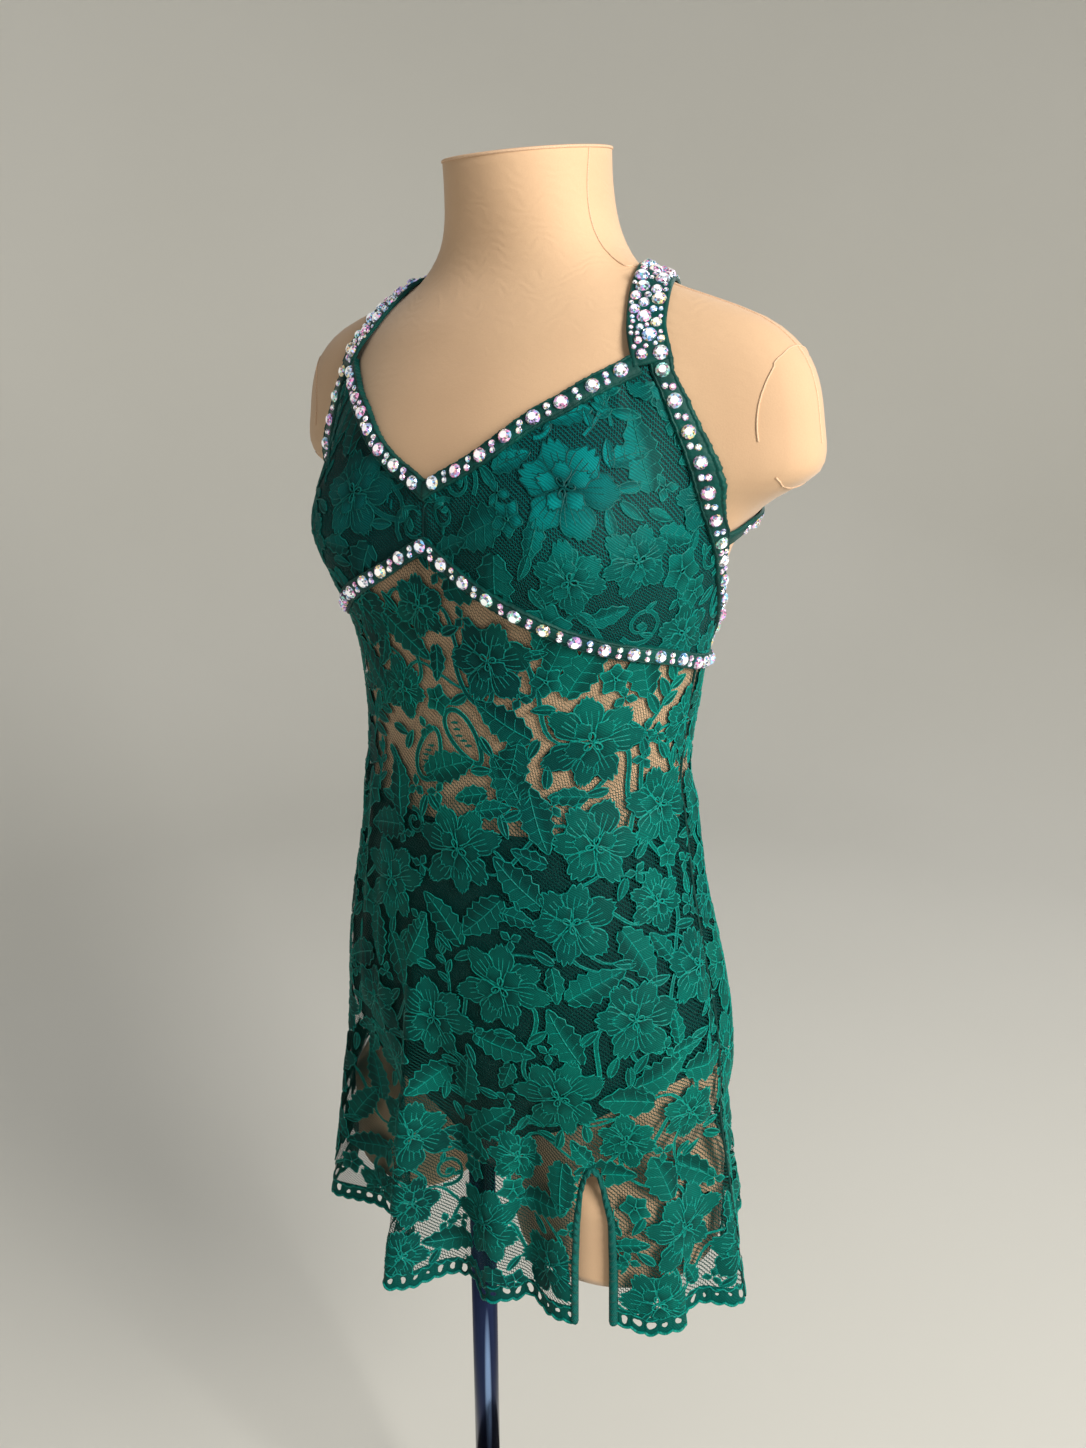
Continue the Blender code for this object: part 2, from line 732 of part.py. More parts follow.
def build_form(objects, cutters):
    """Stuffed form: bust, neck, two shoulder caps and two short thigh ends, closed all over."""
    angles = [10.0 * k for k in range(-6, 7)] + [68, 75, 82, 89, 96, 103, 111]
    angles += [121.0 + 10.73 * k for k in range(12)] + [249, 257, 264, 271, 278, 285, 292]
    heights = [0.73, 0.762, 0.794, 0.826, 0.858, 0.89, 0.922, 0.95, 0.975, 0.997]
    heights += [1.017, 1.035, 1.051, 1.065, 1.078, 1.09, 1.102, 1.112, 1.121, 1.13, 1.142, 1.155]
    heights += [1.168, 1.18, 1.191, 1.201, 1.21, 1.219, 1.228, 1.238, 1.252, 1.272, FORM_TOP]
    rings = []
    edge = []
    for a in angles:
        z = FORM_BOTTOM
        for _ in range(6):
            z = arch_height(body_radius(a, z) * math.sin(math.radians(a)))
        edge.append(z)
    for k in range(6):
        ring = []
        for a, low in zip(angles, edge):
            z = low + (THIGH_TOP - low) * k / 5
            ring.append(point(a, body_radius(a, z), z))
        rings.append(ring)
    for z in heights:
        ring = []
        for a in angles:
            p = point(a, body_radius(a, z), z)
            share = max(0.0, (z - NECK_SLANT_FROM) / (FORM_TOP - NECK_SLANT_FROM))
            p.z += share * NECK_SLANT * p.y / 0.1
            ring.append(p)
        rings.append(ring)
    count = len(angles)
    points = [p for ring in rings for p in ring]
    faces = []
    for j in range(len(rings) - 1):
        for i in range(count):
            n = (i + 1) % count
            faces.append((j * count + i, j * count + n, (j + 1) * count + n, (j + 1) * count + i))
    faces.append(tuple((len(rings) - 1) * count + i for i in range(count)))
    below = list(range(count))
    for share in (0.62, 0.28):
        ring = []
        for i in range(count):
            p = rings[0][i]
            ring.append(len(points))
            points.append(Vector((p.x * share, p.y * share, arch_height(p.x * share))))
        for i in range(count):
            n = (i + 1) % count
            faces.append((below[n], below[i], ring[i], ring[n]))
        below = ring
    points.append(Vector((0, 0, CROTCH_HEIGHT)))
    for i in range(count):
        faces.append((below[(i + 1) % count], below[i], len(points) - 1))
    faces = halves_of(faces)
    form = add_object("form_torso", mesh_from("form_torso", points, faces), objects, "form_cloth")
    socket_top = FORM_BOTTOM + POLE_SOCKET_DEPTH
    bpy.ops.mesh.primitive_cylinder_add(
        vertices=32,
        radius=POLE_RADIUS + RUNNING_GAP,
        depth=POLE_SOCKET_DEPTH + 0.02,
        location=(POLE_X, 0, socket_top - (POLE_SOCKET_DEPTH + 0.02) / 2),
    )
    socket = bpy.context.object
    socket.name = "pole_socket"
    for old in list(socket.users_collection):
        old.objects.unlink(socket)
    cutters.objects.link(socket)
    socket.hide_render = True
    socket.display_type = "WIRE"
    cut(form, socket, "DIFFERENCE")
    return form, BVHTree.FromPolygons([tuple(p) for p in points], faces)


def take(made, name, collection, finish):
    """Names the object just added and moves it to the collection."""
    made.name = name
    made.data.name = name
    for old in list(made.users_collection):
        old.objects.unlink(made)
    collection.objects.link(made)
    made.data.materials.append(material(name + "_" + finish, finish))


def build_stand(objects):
    bpy.ops.mesh.primitive_cylinder_add(
        vertices=52, radius=BASE_RADIUS, depth=BASE_THICK, location=(0, 0, BASE_THICK / 2)
    )
    take(bpy.context.object, "base_plate", objects, "base_enamel")
    low = BASE_THICK + RUNNING_GAP
    high = FORM_BOTTOM + POLE_SOCKET_DEPTH - RUNNING_GAP
    bpy.ops.mesh.primitive_cylinder_add(
        vertices=32, radius=POLE_RADIUS, depth=high - low, location=(POLE_X, 0, (low + high) / 2)
    )
    take(bpy.context.object, "stand_pole", objects, "steel")


def build_briefs(objects, form):
    """Built-in briefs under the lace: front and back, and the narrow gusset between the legs."""
    for name, first, last in (("brief_front", -SIDE_SEAM, SIDE_SEAM), ("brief_back", SIDE_SEAM, 360 - SIDE_SEAM)):
        first += SEAM_HALF_TURN
        last -= SEAM_HALF_TURN
        columns, rows = 20, 6
        grid = []
        for j in range(rows + 1):
            line = []
            for i in range(columns + 1):
                a = first + (last - first) * i / columns
                low = smooth_value(LEG, "angle", 180.0 - abs((a % 360.0) - 180.0), "height")
                line.append((a, low + (BRIEF_TOP - low) * (j / rows)))
            grid.append(line)
        fitted(name, grid, BRIEF_LIFT, BRIEF_THICK, objects, "brief_cloth", form)
    front = -body_radius(0, CROTCH_HEIGHT) + 0.002
    back = body_radius(180, CROTCH_HEIGHT) - 0.002
    points = []
    for j in range(6):
        y = front + (back - front) * j / 5
        line = []
        for i in range(5):
            x = GUSSET_HALF_WIDTH * (1 - i / 2)
            line.append(Vector((x, y, arch_height(x) - BRIEF_LIFT - 0.0005)))
        points.append(line)
    down = [[Vector((0, 0, -1))] * 5 for _ in points]
    cloth("brief_gusset", settle(points, down, form, LAYER_GAP), BRIEF_THICK, objects, "brief_cloth")


def slit_edge(grow, count):
    """The slit's arched edge as (angle, height) points, from its front foot up and over."""
    rows = [(-1.0, 0.0), (-0.97, 0.40), (-0.86, 0.68), (-0.62, 0.88), (-0.33, 0.97), (0.0, 1.0)]
    rows += [(0.33, 0.97), (0.62, 0.88), (0.86, 0.68), (0.97, 0.40), (1.0, 0.0)]
    line = []
    for across, up in rows:
        half = SLIT_WIDTH / 2 + grow
        radius = skirt_radius(SLIT_ANGLE, HEM_HEIGHT + 0.05)
        foot = HEM_HEIGHT + SCALLOP_DEPTH * 0.6
        top = SLIT_TOP + grow
        line.append((SLIT_ANGLE + math.degrees(across * half / radius), foot + (top - foot) * up))
    return resample(line, count)


def radial_prism(outline, near, far, cutters, name):
    """Closed cutter with an (angle, height) outline, running outwards from near to far."""
    count = len(outline)
    points = [point(a, near, z) for a, z in outline] + [point(a, far, z) for a, z in outline]
    faces = [(i, (i + 1) % count, count + (i + 1) % count, count + i) for i in range(count)]
    faces.append(tuple(range(count - 1, -1, -1)))
    faces.append(tuple(range(count, 2 * count)))
    made = bmesh.new()
    verts = [made.verts.new(p) for p in points]
    for face in faces:
        made.faces.new([verts[i] for i in face])
    bmesh.ops.recalc_face_normals(made, faces=made.faces)
    mesh = bpy.data.meshes.new(name)
    made.to_mesh(mesh)
    made.free()
    tool = add_object(name, mesh, cutters)
    tool.hide_render = True
    tool.display_type = "WIRE"
    return tool


def eyelet_pins(name, angles, first, last, cutters):
    """Four-sided pins through the lace, one for each eyelet."""
    made = bmesh.new()
    for a in angles:
        z = skirt_bottom(a, first, last, SCALLOPS_PER_HALF) + EYELET_ABOVE_HEM
        centre = lifted(skirt_radius, a, z, LACE_THICK / 2)
        normal = (lifted(skirt_radius, a, z, 0.003) - centre).normalized()
        side = Vector((0, 0, 1)).cross(normal).normalized()
        up = normal.cross(side).normalized()
        ends = []
        for away in (-0.004, 0.004):
            ring = []
            for k in range(4):
                turn = math.radians(90 * k)
                offset = side * (EYELET_RADIUS * math.cos(turn)) + up * (EYELET_RADIUS * math.sin(turn))
                ring.append(made.verts.new(centre + normal * away + offset))
            ends.append(ring)
        for k in range(4):
            made.faces.new((ends[0][k], ends[0][(k + 1) % 4], ends[1][(k + 1) % 4], ends[1][k]))
        made.faces.new(ends[1])
        made.faces.new(list(reversed(ends[0])))
    bmesh.ops.recalc_face_normals(made, faces=made.faces)
    mesh = bpy.data.meshes.new(name)
    made.to_mesh(mesh)
    made.free()
    tool = add_object(name, mesh, cutters)
    tool.hide_render = True
    tool.display_type = "WIRE"
    return tool


def build_skirt(objects, cutters, form):
    """Lace skirt in two halves with side seams, hem eyelets and the bound slit at the front."""
    below = solid_faces([form] + [objects.objects[n] for n in ("brief_front", "brief_back")])
    halves = (("skirt_front", -SIDE_SEAM, SIDE_SEAM), ("skirt_back", SIDE_SEAM, 360 - SIDE_SEAM))
    for name, first, last in halves:
        first += SEAM_HALF_TURN
        last -= SEAM_HALF_TURN
        grid = skirt_grid(first, last, 40)
        half = fitted(name, grid, 0.0, LACE_THICK, objects, "lace", below, skirt_radius)
        spots = hem_angles(first, last, 2 * EYELETS_PER_HALF)[1::2]
        if name == "skirt_front":
            spots = [a for a in spots if abs(a - SLIT_ANGLE) > 8.5]
        cut(half, eyelet_pins(name + "_eyelets", spots, first, last, cutters), "DIFFERENCE")
        if name == "skirt_front":
            arch = slit_edge(0.0, 14)
            feet = [(arch[-1][0], HEM_HEIGHT - 0.02), (arch[0][0], HEM_HEIGHT - 0.02)]
            cut(half, radial_prism(arch + feet, 0.085, 0.200, cutters, "slit_cutter"), "DIFFERENCE")
    grid = ribbon_grid(slit_edge(0.0002, 28), slit_edge(0.0046, 28), 28, 1)
    below = solid_faces([objects.objects["skirt_front"]])
    lift = LACE_THICK + 0.0006
    fitted("slit_binding", grid, lift, TRIM_THICK, objects, "binding_cloth", below, skirt_radius)


def build_bodice(objects, cutters, form):
    """Two lined lace cups, two back wings, and the bound edges with their stones."""
    cup = cup_grid(12, 10)
    wing = wing_grid(5, 3)
    for side, grid_of in (("left", lambda g: g), ("right", mirrored)):
        fitted("cup_" + side, grid_of(cup), LACE_LIFT, LINED_THICK, objects, "lined_lace", form)
        fitted("wing_" + side, grid_of(wing), LACE_LIFT, LINED_THICK, objects, "lined_lace", form)
    names = ("cup_left", "cup_right", "wing_left", "wing_right", "skirt_front", "skirt_back")
    below = solid_faces([objects.objects[n] for n in names])
    neck = [p for p in smooth_line(NECK, 60) if p[0] < NECK_BINDING_END]
    rise = math.atan2(neck[1][1] - neck[0][1], flat(*neck[1])[0] - flat(*neck[0])[0])
    mitre = (neck[0][0], neck[0][1] - BINDING_WIDTH / math.cos(rise))
    neck_inner = [mitre] + [p for p in beside(neck, BINDING_WIDTH) if p[0] > neck[0][0] + 2.5]
    arm = [p for p in smooth_line(ARM, 120) if p[0] < ARM_BINDING_END and p[1] < ARM_BINDING_TOP]
    arm_inner = beside(arm, BINDING_WIDTH)
    band = [(float(a), band_height(a)) for a in range(-91, 92)]
    band = [(-SIDE_SEAM + SEAM_HALF_TURN, band_height(SIDE_SEAM))] + band
    band.append((SIDE_SEAM - SEAM_HALF_TURN, band_height(SIDE_SEAM)))
    behind = [(float(a), band_height(a)) for a in range(93, 268)]
    behind = [(SIDE_SEAM + SEAM_HALF_TURN, band_height(SIDE_SEAM))] + behind
    behind.append((360 - SIDE_SEAM - SEAM_HALF_TURN, band_height(SIDE_SEAM)))
    strips = [
        ("neck_binding_left", ribbon_grid(neck_inner, neck, 16, 1), beside(neck, BINDING_WIDTH / 2), 0.009),
        ("arm_binding_left", ribbon_grid(arm_inner, arm, 30, 1), beside(arm, BINDING_WIDTH / 2), 0.006),
        ("band_front", shifted_band(band, 48), band, 0.008),
        ("band_back", shifted_band(behind, 32), behind, 0.012),
    ]
    strips[1] = (strips[1][0], [list(reversed(line)) for line in reversed(strips[1][1])], *strips[1][2:])
    for name, grid, middle, ends in strips:
        if name == "arm_binding_left":
            grid = turned(grid)
        put_strip(name, grid, middle, ends, objects, cutters, below)
        if name.endswith("left"):
            other = [(-a, z) for a, z in middle]
            put_strip(name.replace("left", "right"), mirrored(grid), other, ends, objects, cutters, below)


def shifted_band(middle, count):
    below = [(a, z - BINDING_WIDTH / 2) for a, z in middle]
    above = [(a, z + BINDING_WIDTH / 2) for a, z in middle]
    return ribbon_grid(below, above, count, 1)


def turned(grid):
    """The same grid with its faces looking outwards."""
    a, b = grid[0][0], grid[0][-1]
    c = grid[-1][0]
    along = (flat(*b)[0] - flat(*a)[0], b[1] - a[1])
    across = (flat(*c)[0] - flat(*a)[0], c[1] - a[1])
    if along[0] * across[1] - along[1] * across[0] < 0:
        return [list(reversed(line)) for line in grid]
    return grid


def put_strip(name, grid, middle, ends, objects, cutters, below):
    strip = fitted(name, grid, TRIM_LIFT, TRIM_THICK, objects, "binding_cloth", below)
    top = solid_faces([strip])
    places = []
    for here, normal, along in stone_places(middle, TRIM_LIFT + TRIM_THICK, STONE_PITCH, ends):
        found = top.ray_cast(here + normal * REACH, -normal, REACH * 2)
        places.append((found[0] if found[0] else here, normal, along))
    cut(strip, studs(name + "_stones", places, cutters), "UNION")


def build_straps(objects, cutters, form, form_object):
    """Beaded straps from the cups over the shoulders, crossing at the back to the other underarm."""
    for side, name in ((1, "strap_left"), (-1, "strap_right")):
        rows = [[side * row["x"], row["y"], row["z"], row["half_width"]] for row in STRAP]
        path = []
        for i in range(len(rows) - 1):
            four = [rows[max(i - 1, 0)], rows[i], rows[i + 1], rows[min(i + 2, len(rows) - 1)]]
            for k in range(2):
                path.append([spline(four, c, k / 2) for c in range(4)])
        path.append(rows[-1])
        found = [form.find_nearest(Vector(p[:3])) for p in path]
        on_form = [hit[0] for hit in found]
        normals = [hit[1] for hit in found]
        for _ in range(3):
            normals = [
                (normals[max(i - 1, 0)] + normals[i] * 2 + normals[min(i + 1, len(normals) - 1)]).normalized()
                for i in range(len(normals))
            ]
        edge_a, edge_b, middle = [], [], []
        for i, here in enumerate(on_form):
            along = on_form[min(i + 1, len(path) - 1)] - on_form[max(i - 1, 0)]
            across = normals[i].cross(along).normalized()
            for keep, shift in ((edge_a, -1), (middle, 0), (edge_b, 1)):
                flat_point = here + across * (path[i][3] * shift)
                near = form.find_nearest(flat_point)[0]
                height = max(0.0, (near - flat_point).dot(normals[i]))
                keep.append(flat_point + normals[i] * (height + LACE_LIFT))
        first, last = (67.0, 1.1892), (75.4, 1.1962)
        for k in range(2):
            blend = 1 - k * 0.6
            a = lifted(body_radius, side * first[0], first[1] + k * 0.004, LACE_LIFT + 0.0002)
            b = lifted(body_radius, side * last[0], last[1] + k * 0.004, LACE_LIFT + 0.0002)
            if (edge_a[0] - a).length > (edge_a[0] - b).length:
                a, b = b, a
            edge_a[k] = edge_a[k].lerp(a, blend)
            edge_b[k] = edge_b[k].lerp(b, blend)
            middle[k] = middle[k].lerp((a + b) / 2, blend)
        points = [edge_a, middle, edge_b]
        along = middle[5] - middle[4]
        if along.cross(edge_b[4] - edge_a[4]).dot(normals[4]) < 0:
            points = points[::-1]
        under = [form_object] if side > 0 else [form_object, objects.objects["strap_left"]]
        points = settle(points, [normals] * 3, solid_faces(under), LAYER_GAP)
        middle = points[1]
        strap = cloth(name, points, LINED_THICK, objects, "binding_cloth")
        places = []
        runs = [0.0]
        for a, b in zip(middle, middle[1:]):
            runs.append(runs[-1] + (b - a).length)
        want = 0.008
        turn = 0
        while want < runs[-1] - 0.010:
            i = max(j for j in range(len(runs) - 1) if runs[j] <= want)
            t = (want - runs[i]) / (runs[i + 1] - runs[i])
            here = middle[i].lerp(middle[i + 1], t)
            normal = normals[i].lerp(normals[i + 1], t).normalized()
            along = (middle[i + 1] - middle[i]).normalized()
            wide = path[i][3] > 0.0078
            shift = 0.0
            if wide:
                shift = (path[i][3] - 0.0055) * (-1, 1)[turn % 2]
            across = normal.cross(along)
            if not (abs(here.x) < 0.022 and here.y > 0.05):
                places.append((here + normal * LINED_THICK + across * shift, normal, along))
            want += 0.0120 if wide else STONE_PITCH
            turn += 1
        cut(strap, studs(name + "_stones", places, cutters), "UNION")


def main():
    for old in list(bpy.data.objects):
        bpy.data.objects.remove(old, do_unlink=True)
    objects = bpy.data.collections.new("lace_slip_dress")
    cutters = bpy.data.collections.new("cutters")
    bpy.context.scene.collection.children.link(objects)
    bpy.context.scene.collection.children.link(cutters)
    build_stand(objects)
    form, form_faces = build_form(objects, cutters)
    build_briefs(objects, form_faces)
    build_skirt(objects, cutters, form)
    build_bodice(objects, cutters, form_faces)
    build_straps(objects, cutters, form_faces, form)


main()
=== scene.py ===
"""Looks of a lace slip dress with jewelled bindings, on a stuffed dress form with a pole.

Metres, +Z up. The dress faces -Y and the wearer's left is +X. Angles round the body are in degrees from
the front, positive to the wearer's left. A place on the cloth is an angle and a height.
"""

import math
import random

import bpy
import numpy as np
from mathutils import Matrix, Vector
from mathutils.bvhtree import BVHTree


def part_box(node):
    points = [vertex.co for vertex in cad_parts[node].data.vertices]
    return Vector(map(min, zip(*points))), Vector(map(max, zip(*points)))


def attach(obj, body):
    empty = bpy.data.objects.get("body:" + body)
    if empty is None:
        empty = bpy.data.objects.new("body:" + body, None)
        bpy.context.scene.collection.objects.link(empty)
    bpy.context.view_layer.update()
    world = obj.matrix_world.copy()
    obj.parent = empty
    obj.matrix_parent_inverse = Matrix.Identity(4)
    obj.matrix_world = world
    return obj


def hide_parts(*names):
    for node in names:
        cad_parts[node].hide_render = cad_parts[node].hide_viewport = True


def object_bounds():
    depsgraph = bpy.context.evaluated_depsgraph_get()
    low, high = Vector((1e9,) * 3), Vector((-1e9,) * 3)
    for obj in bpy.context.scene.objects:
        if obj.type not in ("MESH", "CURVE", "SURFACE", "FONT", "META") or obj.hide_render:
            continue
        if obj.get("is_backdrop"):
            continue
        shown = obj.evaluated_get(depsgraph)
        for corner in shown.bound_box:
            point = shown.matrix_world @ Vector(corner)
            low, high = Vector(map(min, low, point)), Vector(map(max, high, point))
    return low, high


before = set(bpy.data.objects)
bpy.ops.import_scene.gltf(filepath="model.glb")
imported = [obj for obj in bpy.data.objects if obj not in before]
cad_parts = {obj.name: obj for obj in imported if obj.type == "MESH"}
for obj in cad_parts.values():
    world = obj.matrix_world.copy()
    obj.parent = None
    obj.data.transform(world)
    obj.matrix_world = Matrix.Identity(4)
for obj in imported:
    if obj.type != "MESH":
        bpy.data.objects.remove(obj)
cad_low, cad_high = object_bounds()

# The stand is a round steel plate, powder coated near black, and a tube of blued polished steel that stands in it
# and runs up into the form. Both are turned about their own axis, with the plate's rim rolled over.
plate_low, plate_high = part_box("base_plate")
pole_low, pole_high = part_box("stand_pole")
pole_middle = (pole_low + pole_high) / 2
pole_radius = (pole_high.x - pole_low.x) / 2


def node(tree, kind, sockets=None, **settings):
    """A shader node. A socket given as a value is linked, and anything else is set on the node's own socket."""
    made = tree.nodes.new("ShaderNode" + kind)
    for key, value in settings.items():
        setattr(made, key, value)
    for key, value in (sockets or {}).items():
        if isinstance(value, bpy.types.NodeSocket):
            tree.links.new(value, made.inputs[key])
        else:
            made.inputs[key].default_value = value
    return made


def maths(tree, operation, *values):
    """The result of one step of arithmetic."""
    return node(tree, "Math", dict(enumerate(values)), operation=operation).outputs[0]


def times(tree, first, second):
    return maths(tree, "MULTIPLY", first, second)


def plus(tree, first, second):
    return maths(tree, "ADD", first, second)


def measured_along(tree, vector, direction):
    """How far a vector reaches in a direction."""
    return node(tree, "VectorMath", {0: vector, 1: direction}, operation="DOT_PRODUCT").outputs["Value"]


def between(tree, value, low, high, to_low=0.0, to_high=1.0):
    """A value spread from one range to another, and kept inside it."""
    ends = {"Value": value, "From Min": low, "From Max": high, "To Min": to_low, "To Max": to_high}
    return node(tree, "MapRange", ends).outputs[0]


def blended(tree, share, first, second):
    """A colour between two others."""
    return node(tree, "Mix", {0: share, 6: first, 7: second}, data_type="RGBA").outputs[2]


def object_spots(tree):
    """Each point's own place in the object."""
    return node(tree, "TexCoord").outputs["Object"]


def noise(tree, spots, scale, detail):
    """Soft random values over the surface."""
    return node(tree, "TexNoise", {"Vector": spots, "Scale": scale, "Detail": detail}).outputs[0]


def finish_of(name, **sockets):
    """A material with its own numbers set on its Principled shader."""
    made = bpy.data.materials.new(name)
    made.use_nodes = True
    shader = made.node_tree.nodes["Principled BSDF"]
    for key, value in sockets.items():
        shader.inputs[key.replace("_", " ")].default_value = value
    return made, made.node_tree, shader


def feed(shader, socket, value):
    """Links a value that changes over the surface to one of the Principled shader's sockets."""
    shader.id_data.links.new(value, shader.inputs[socket])


def relief(shader, height, strength, distance):
    """Raises the surface's shading by a height."""
    bump = node(shader.id_data, "Bump", {"Height": height, "Strength": strength, "Distance": distance})
    feed(shader, "Normal", bump.outputs[0])


def put(name, data):
    """A mesh, a light or a camera as an object of the scene."""
    made = bpy.data.objects.new(name, data)
    bpy.context.scene.collection.objects.link(made)
    return made


def meshed(name, points, faces, finishes, inks=None, smooth=True):
    """A mesh object from points and faces, whose inks say which finish each face has."""
    mesh = bpy.data.meshes.new(name)
    mesh.from_pydata(np.asarray(points).tolist(), [], [tuple(map(int, f)) for f in faces])
    for finish in finishes:
        mesh.materials.append(finish)
    if inks is not None:
        mesh.polygons.foreach_set("material_index", np.asarray(inks, np.int32))
    mesh.polygons.foreach_set("use_smooth", [smooth] * len(mesh.polygons))
    mesh.update()
    return put(name, mesh)


def piece(name, points, faces, finishes, slot, inks=None, smooth=True):
    """A mesh piece of the object that rides on its one body."""
    made = meshed(name, points, faces, finishes, inks, smooth)
    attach(made, "root")
    return made


def grid_faces(rows, columns, around=False):
    """Four-sided faces of a grid of points, whose last column may join its first."""
    j, i = np.meshgrid(np.arange(rows - 1), np.arange(columns if around else columns - 1), indexing="ij")
    n = (i + 1) % columns
    low, high = j * columns, (j + 1) * columns
    return np.stack([low + i, low + n, high + n, high + i], -1).reshape(-1, 4)


def turned(name, profile, x, y, steps, finish, slot):
    """A solid turned about an upright axis from (radius, height) points, from its top middle to its foot."""
    profile = np.array(profile, float)[::-1]
    turns = np.linspace(0, 2 * np.pi, steps, endpoint=False)
    rings = [np.stack([x + r * np.cos(turns), y + r * np.sin(turns), np.full(steps, z)], 1) for r, z in profile]
    faces = grid_faces(len(profile), steps, around=True).tolist()
    faces += [list(range(steps - 1, -1, -1)), [(len(profile) - 1) * steps + i for i in range(steps)]]
    return piece(name, np.vstack(rings), faces, [finish], slot)


enamel, tree, shader = finish_of("plate_enamel", Base_Color=(0.020, 0.021, 0.024, 1), Roughness=0.42, Metallic=0.2)
spots = object_spots(tree)
grain = noise(tree, spots, 900.0, 2.0)
smears = noise(tree, spots, 9.0, 4.0)
feed(shader, "Roughness", between(tree, smears, 0.35, 0.7, 0.34, 0.55))
relief(shader, grain, 0.25, 0.0003)
thick = plate_high.z
PLATE_RIM = 0.0022
AXIS_GAP = 0.0001
outer = (plate_high.x - plate_low.x) / 2
plate_profile = [(AXIS_GAP, thick), (pole_radius + 0.004, thick), (outer - PLATE_RIM, thick)]
for angle in (0.5, 1.0, 1.5708):
    plate_profile.append((outer - PLATE_RIM * (1 - math.sin(angle)), thick - PLATE_RIM * (1 - math.cos(angle))))
for angle in (0.0, 0.6, 1.2, 1.5708):
    plate_profile.append((outer - PLATE_RIM * (1 - math.cos(angle)), PLATE_RIM * (1 - math.sin(angle))))
plate = turned("stand_plate", plate_profile, 0.0, 0.0, 128, enamel, "base_enamel")
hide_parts("base_plate")

blued, tree, shader = finish_of("blued_steel", Roughness=0.30, Metallic=1.0)
along = node(tree, "Mapping", {0: object_spots(tree), 3: (260.0, 260.0, 3.0)}).outputs[0]
drawn = noise(tree, along, 1.0, 3.0)
facing = node(tree, "NewGeometry").outputs["Normal"]
# A painted highlight: a narrow pale streak down the tube, on the side towards the window light
painted_light = between(tree, measured_along(tree, facing, (0.74, -0.67, 0.0)), 0.955, 0.99, 0.0, 0.85)
feed(shader, "Roughness", between(tree, drawn, 0.3, 0.7, 0.10, 0.24))
steel_blue = blended(tree, drawn, (0.008, 0.014, 0.045, 1), (0.030, 0.045, 0.12, 1))
feed(shader, "Base Color", blended(tree, painted_light, steel_blue, (0.30, 0.46, 0.80, 1)))
pole_profile = [(AXIS_GAP, pole_high.z), (pole_radius, pole_high.z), (pole_radius, pole_low.z), (AXIS_GAP, pole_low.z)]
pole = turned("stand_tube", pole_profile, pole_middle.x, pole_middle.y, 48, blued, "steel")
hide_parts("stand_pole")

# The form is a firm stuffed torso with no arms and no legs, in a tight peach stretch cover. Its pieces are joined by
# fine overlocked seams at the neck's lid, down each side of the neck and shoulder, and round the shoulder caps.
FORM_BOTTOM = 0.585
FORM_TOP = 1.305
NECK_SLANT = 0.014
NECK_SLANT_FROM = 1.235
THIGH_OUT = 0.081
THIGH_RADIUS = 0.077
THIGH_TOP = 0.70
CROTCH_SPREAD = 0.028
CROTCH_HEIGHT = 0.617
# Sections of the torso: height, half width at the side, then depth from the side line to the front and the back
TORSO_ROWS = [
    (0.585, 0.06, 0.043, 0.048), (0.6, 0.062, 0.044, 0.05), (0.63, 0.092, 0.054, 0.068),
    (0.66, 0.128, 0.068, 0.09), (0.7, 0.151, 0.085, 0.107), (0.745, 0.151, 0.097, 0.112),
    (0.79, 0.143, 0.098, 0.104), (0.83, 0.133, 0.095, 0.093), (0.87, 0.123, 0.092, 0.083),
    (0.91, 0.117, 0.09, 0.077), (0.94, 0.116, 0.088, 0.076), (0.98, 0.119, 0.089, 0.079),
    (1.02, 0.125, 0.091, 0.084), (1.06, 0.133, 0.098, 0.091), (1.1, 0.139, 0.098, 0.095),
    (1.14, 0.137, 0.091, 0.097), (1.17, 0.131, 0.079, 0.095), (1.19, 0.124, 0.068, 0.091),
    (1.205, 0.113, 0.06, 0.086), (1.22, 0.096, 0.05, 0.078), (1.235, 0.076, 0.042, 0.07),
    (1.25, 0.061, 0.04, 0.064), (1.265, 0.053, 0.042, 0.059), (1.285, 0.049, 0.046, 0.055),
    (1.305, 0.048, 0.049, 0.053),
]
# The two shoulder caps as one wide flat section: height, reach to the side, and depth to the front and the back
SHOULDER_ROWS = [
    (1.055, 0.06, 0.012, 0.024), (1.08, 0.11, 0.024, 0.044), (1.095, 0.136, 0.031, 0.056),
    (1.108, 0.154, 0.035, 0.06), (1.119, 0.175, 0.038, 0.06), (1.127, 0.189, 0.039, 0.06),
    (1.137, 0.194, 0.04, 0.06), (1.155, 0.192, 0.04, 0.06), (1.175, 0.188, 0.039, 0.058),
    (1.19, 0.181, 0.037, 0.056), (1.202, 0.169, 0.034, 0.053), (1.211, 0.154, 0.03, 0.049),
    (1.219, 0.132, 0.026, 0.044), (1.227, 0.106, 0.021, 0.038), (1.24, 0.073, 0.013, 0.026),
    (1.26, 0.03, 0.006, 0.012),
]
BUST_HEIGHT = 1.088
BUST_ANGLE = 45.0
BUST_SPREAD = (24.0, 0.044)
BUST_DEPTH = 0.017
# The neck's lid and the closed underside as rings: share of the edge's size, and the lid's drop
LID_RINGS = [(0.985, 0.0006), (0.955, 0.0), (0.7, -0.0008), (0.4, -0.0014), (0.15, -0.0016), (0.0, -0.0016)]
UNDER_RINGS = (0.0, 0.12, 0.28, 0.45, 0.62, 0.80, 0.93)
LID_EDGE = 0.002
RING_TURN = 2.5
SECTION_POWER = 2.15
SHOULDER_POWERS = (2.2, 2.9)
BLEND_POWER = 10.0


